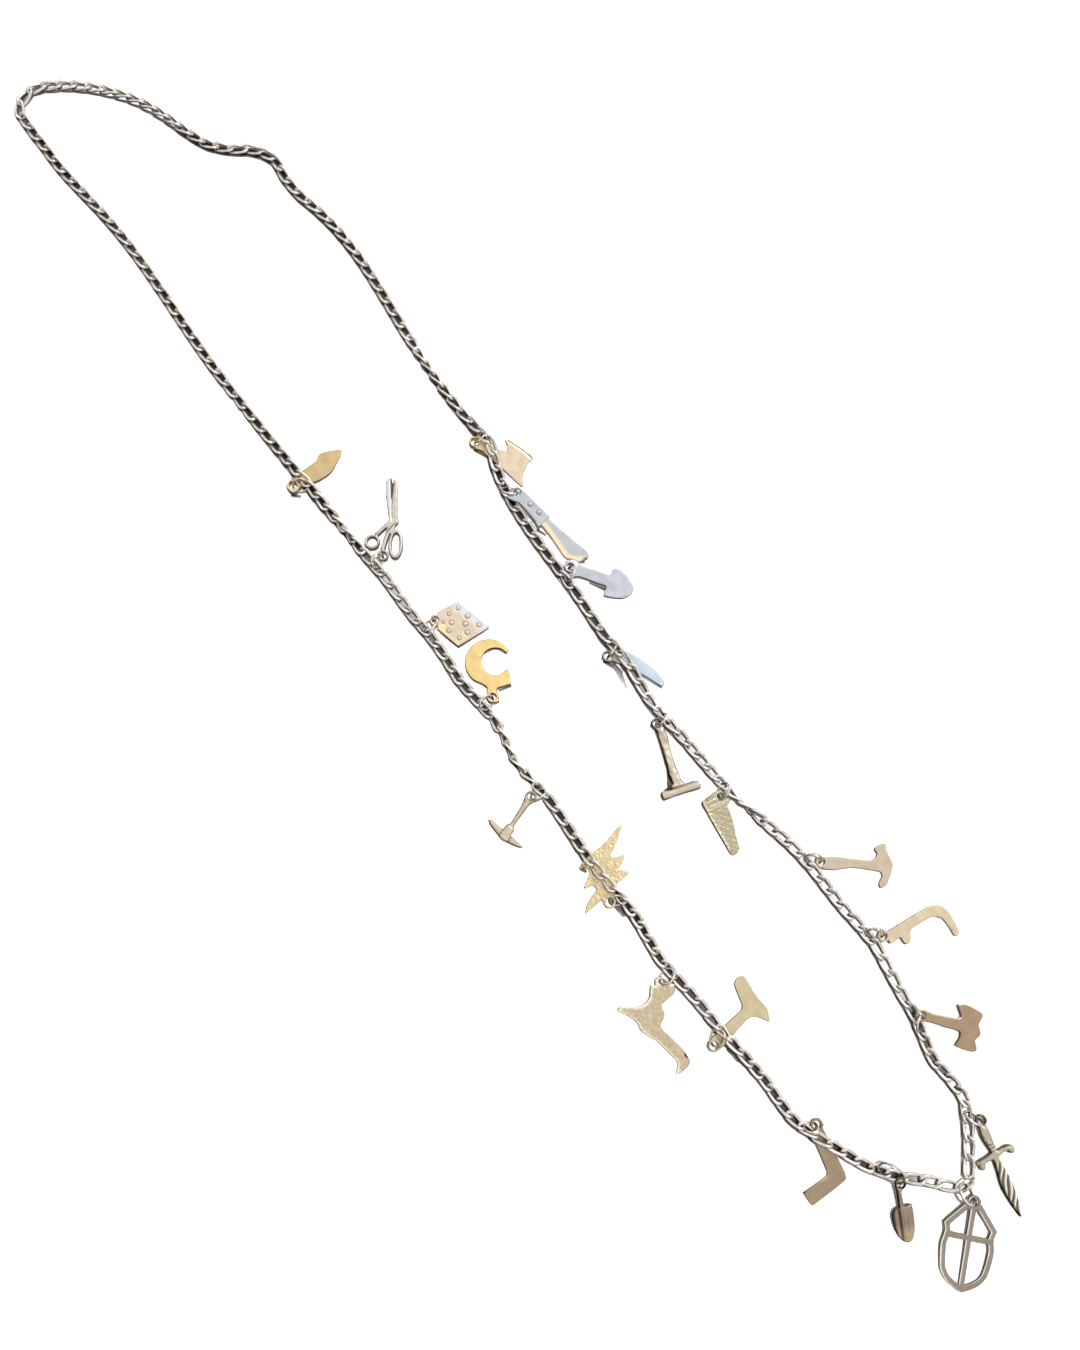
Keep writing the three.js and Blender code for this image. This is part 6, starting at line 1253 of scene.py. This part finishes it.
# the room that the metal mirrors: light above and on the right, dark low on the left
world = bpy.data.worlds.new("room")
bpy.context.scene.world = world
world.use_nodes = True
wt = world.node_tree
wt.nodes.clear()
wo = wt.nodes.new("ShaderNodeOutputWorld")
wb = wt.nodes.new("ShaderNodeBackground")
tc = wt.nodes.new("ShaderNodeTexCoord")
dotn = wt.nodes.new("ShaderNodeVectorMath")
dotn.operation = "DOT_PRODUCT"
dotn.inputs[1].default_value = (0.75, 0.05, 0.66)
wt.links.new(tc.outputs["Generated"], dotn.inputs[0])
wn = wt.nodes.new("ShaderNodeTexNoise")
wn.inputs["Scale"].default_value = 2.6
wn.inputs["Detail"].default_value = 1.5
wt.links.new(tc.outputs["Generated"], wn.inputs["Vector"])
patch = ramp(wt, wn.outputs[0], 0.35, 0.6, -0.16, 0.1)
level = ramp(wt, math_node(wt, "ADD", dotn.outputs["Value"], patch), -0.66, 0.08, 0.0, 1.0)
sky = mix(wt, level, (0.03, 0.02, 0.018), (1.0, 0.99, 0.97))
lamp = wt.nodes.new("ShaderNodeVectorMath")
lamp.operation = "DOT_PRODUCT"
lamp.inputs[1].default_value = (0.74, 0.12, 0.66)
wt.links.new(tc.outputs["Generated"], lamp.inputs[0])
sky = mix(wt, ramp(wt, lamp.outputs["Value"], 0.9, 0.97), sky, (3.4, 3.3, 3.15))
wt.links.new(sky, wb.inputs["Color"])
wb.inputs["Strength"].default_value = 1.0
wt.links.new(wb.outputs[0], wo.inputs[0])
world.cycles_visibility.diffuse = False


def sun(name, direction, strength, angle, colour=(1, 1, 1)):
    l = bpy.data.lights.new(name, "SUN")
    l.energy, l.color, l.angle = strength, colour, math.radians(angle)
    ob = bpy.data.objects.new(name, l)
    bpy.context.scene.collection.objects.link(ob)
    ob.rotation_euler = Vector(direction).to_track_quat("Z", "Y").to_euler()
    return ob


key = sun("key", (0.14, 0.015, 0.99), 4.6, 8, (1.0, 1.0, 1.0))
key.visible_glossy = False
fill = sun("fill", (0.0, 0.0, 1.0), 0.9, 170, (1.0, 0.9, 0.84))
fill.visible_glossy = False

cam = bpy.data.cameras.new("view")
cam.lens, cam.sensor_width, cam.sensor_fit = 36, 36, "AUTO"
cam.clip_start, cam.clip_end = 0.01, 20
co = bpy.data.objects.new("view", cam)
bpy.context.scene.collection.objects.link(co)
X = Vector((0.75627, -0.65426, 0.0))
Y = Vector((0.64553, 0.74618, 0.16280))
Z = Vector((-0.10651, -0.12312, 0.98666))
co.matrix_world = Matrix(((X[0], Y[0], Z[0], -0.039040), (X[1], Y[1], Z[1], -0.064827), (X[2], Y[2], Z[2], 0.366209), (0, 0, 0, 1)))
bpy.context.scene.camera = co
bpy.context.scene.view_settings.view_transform = "Standard"
bpy.context.scene.view_settings.look = "None"
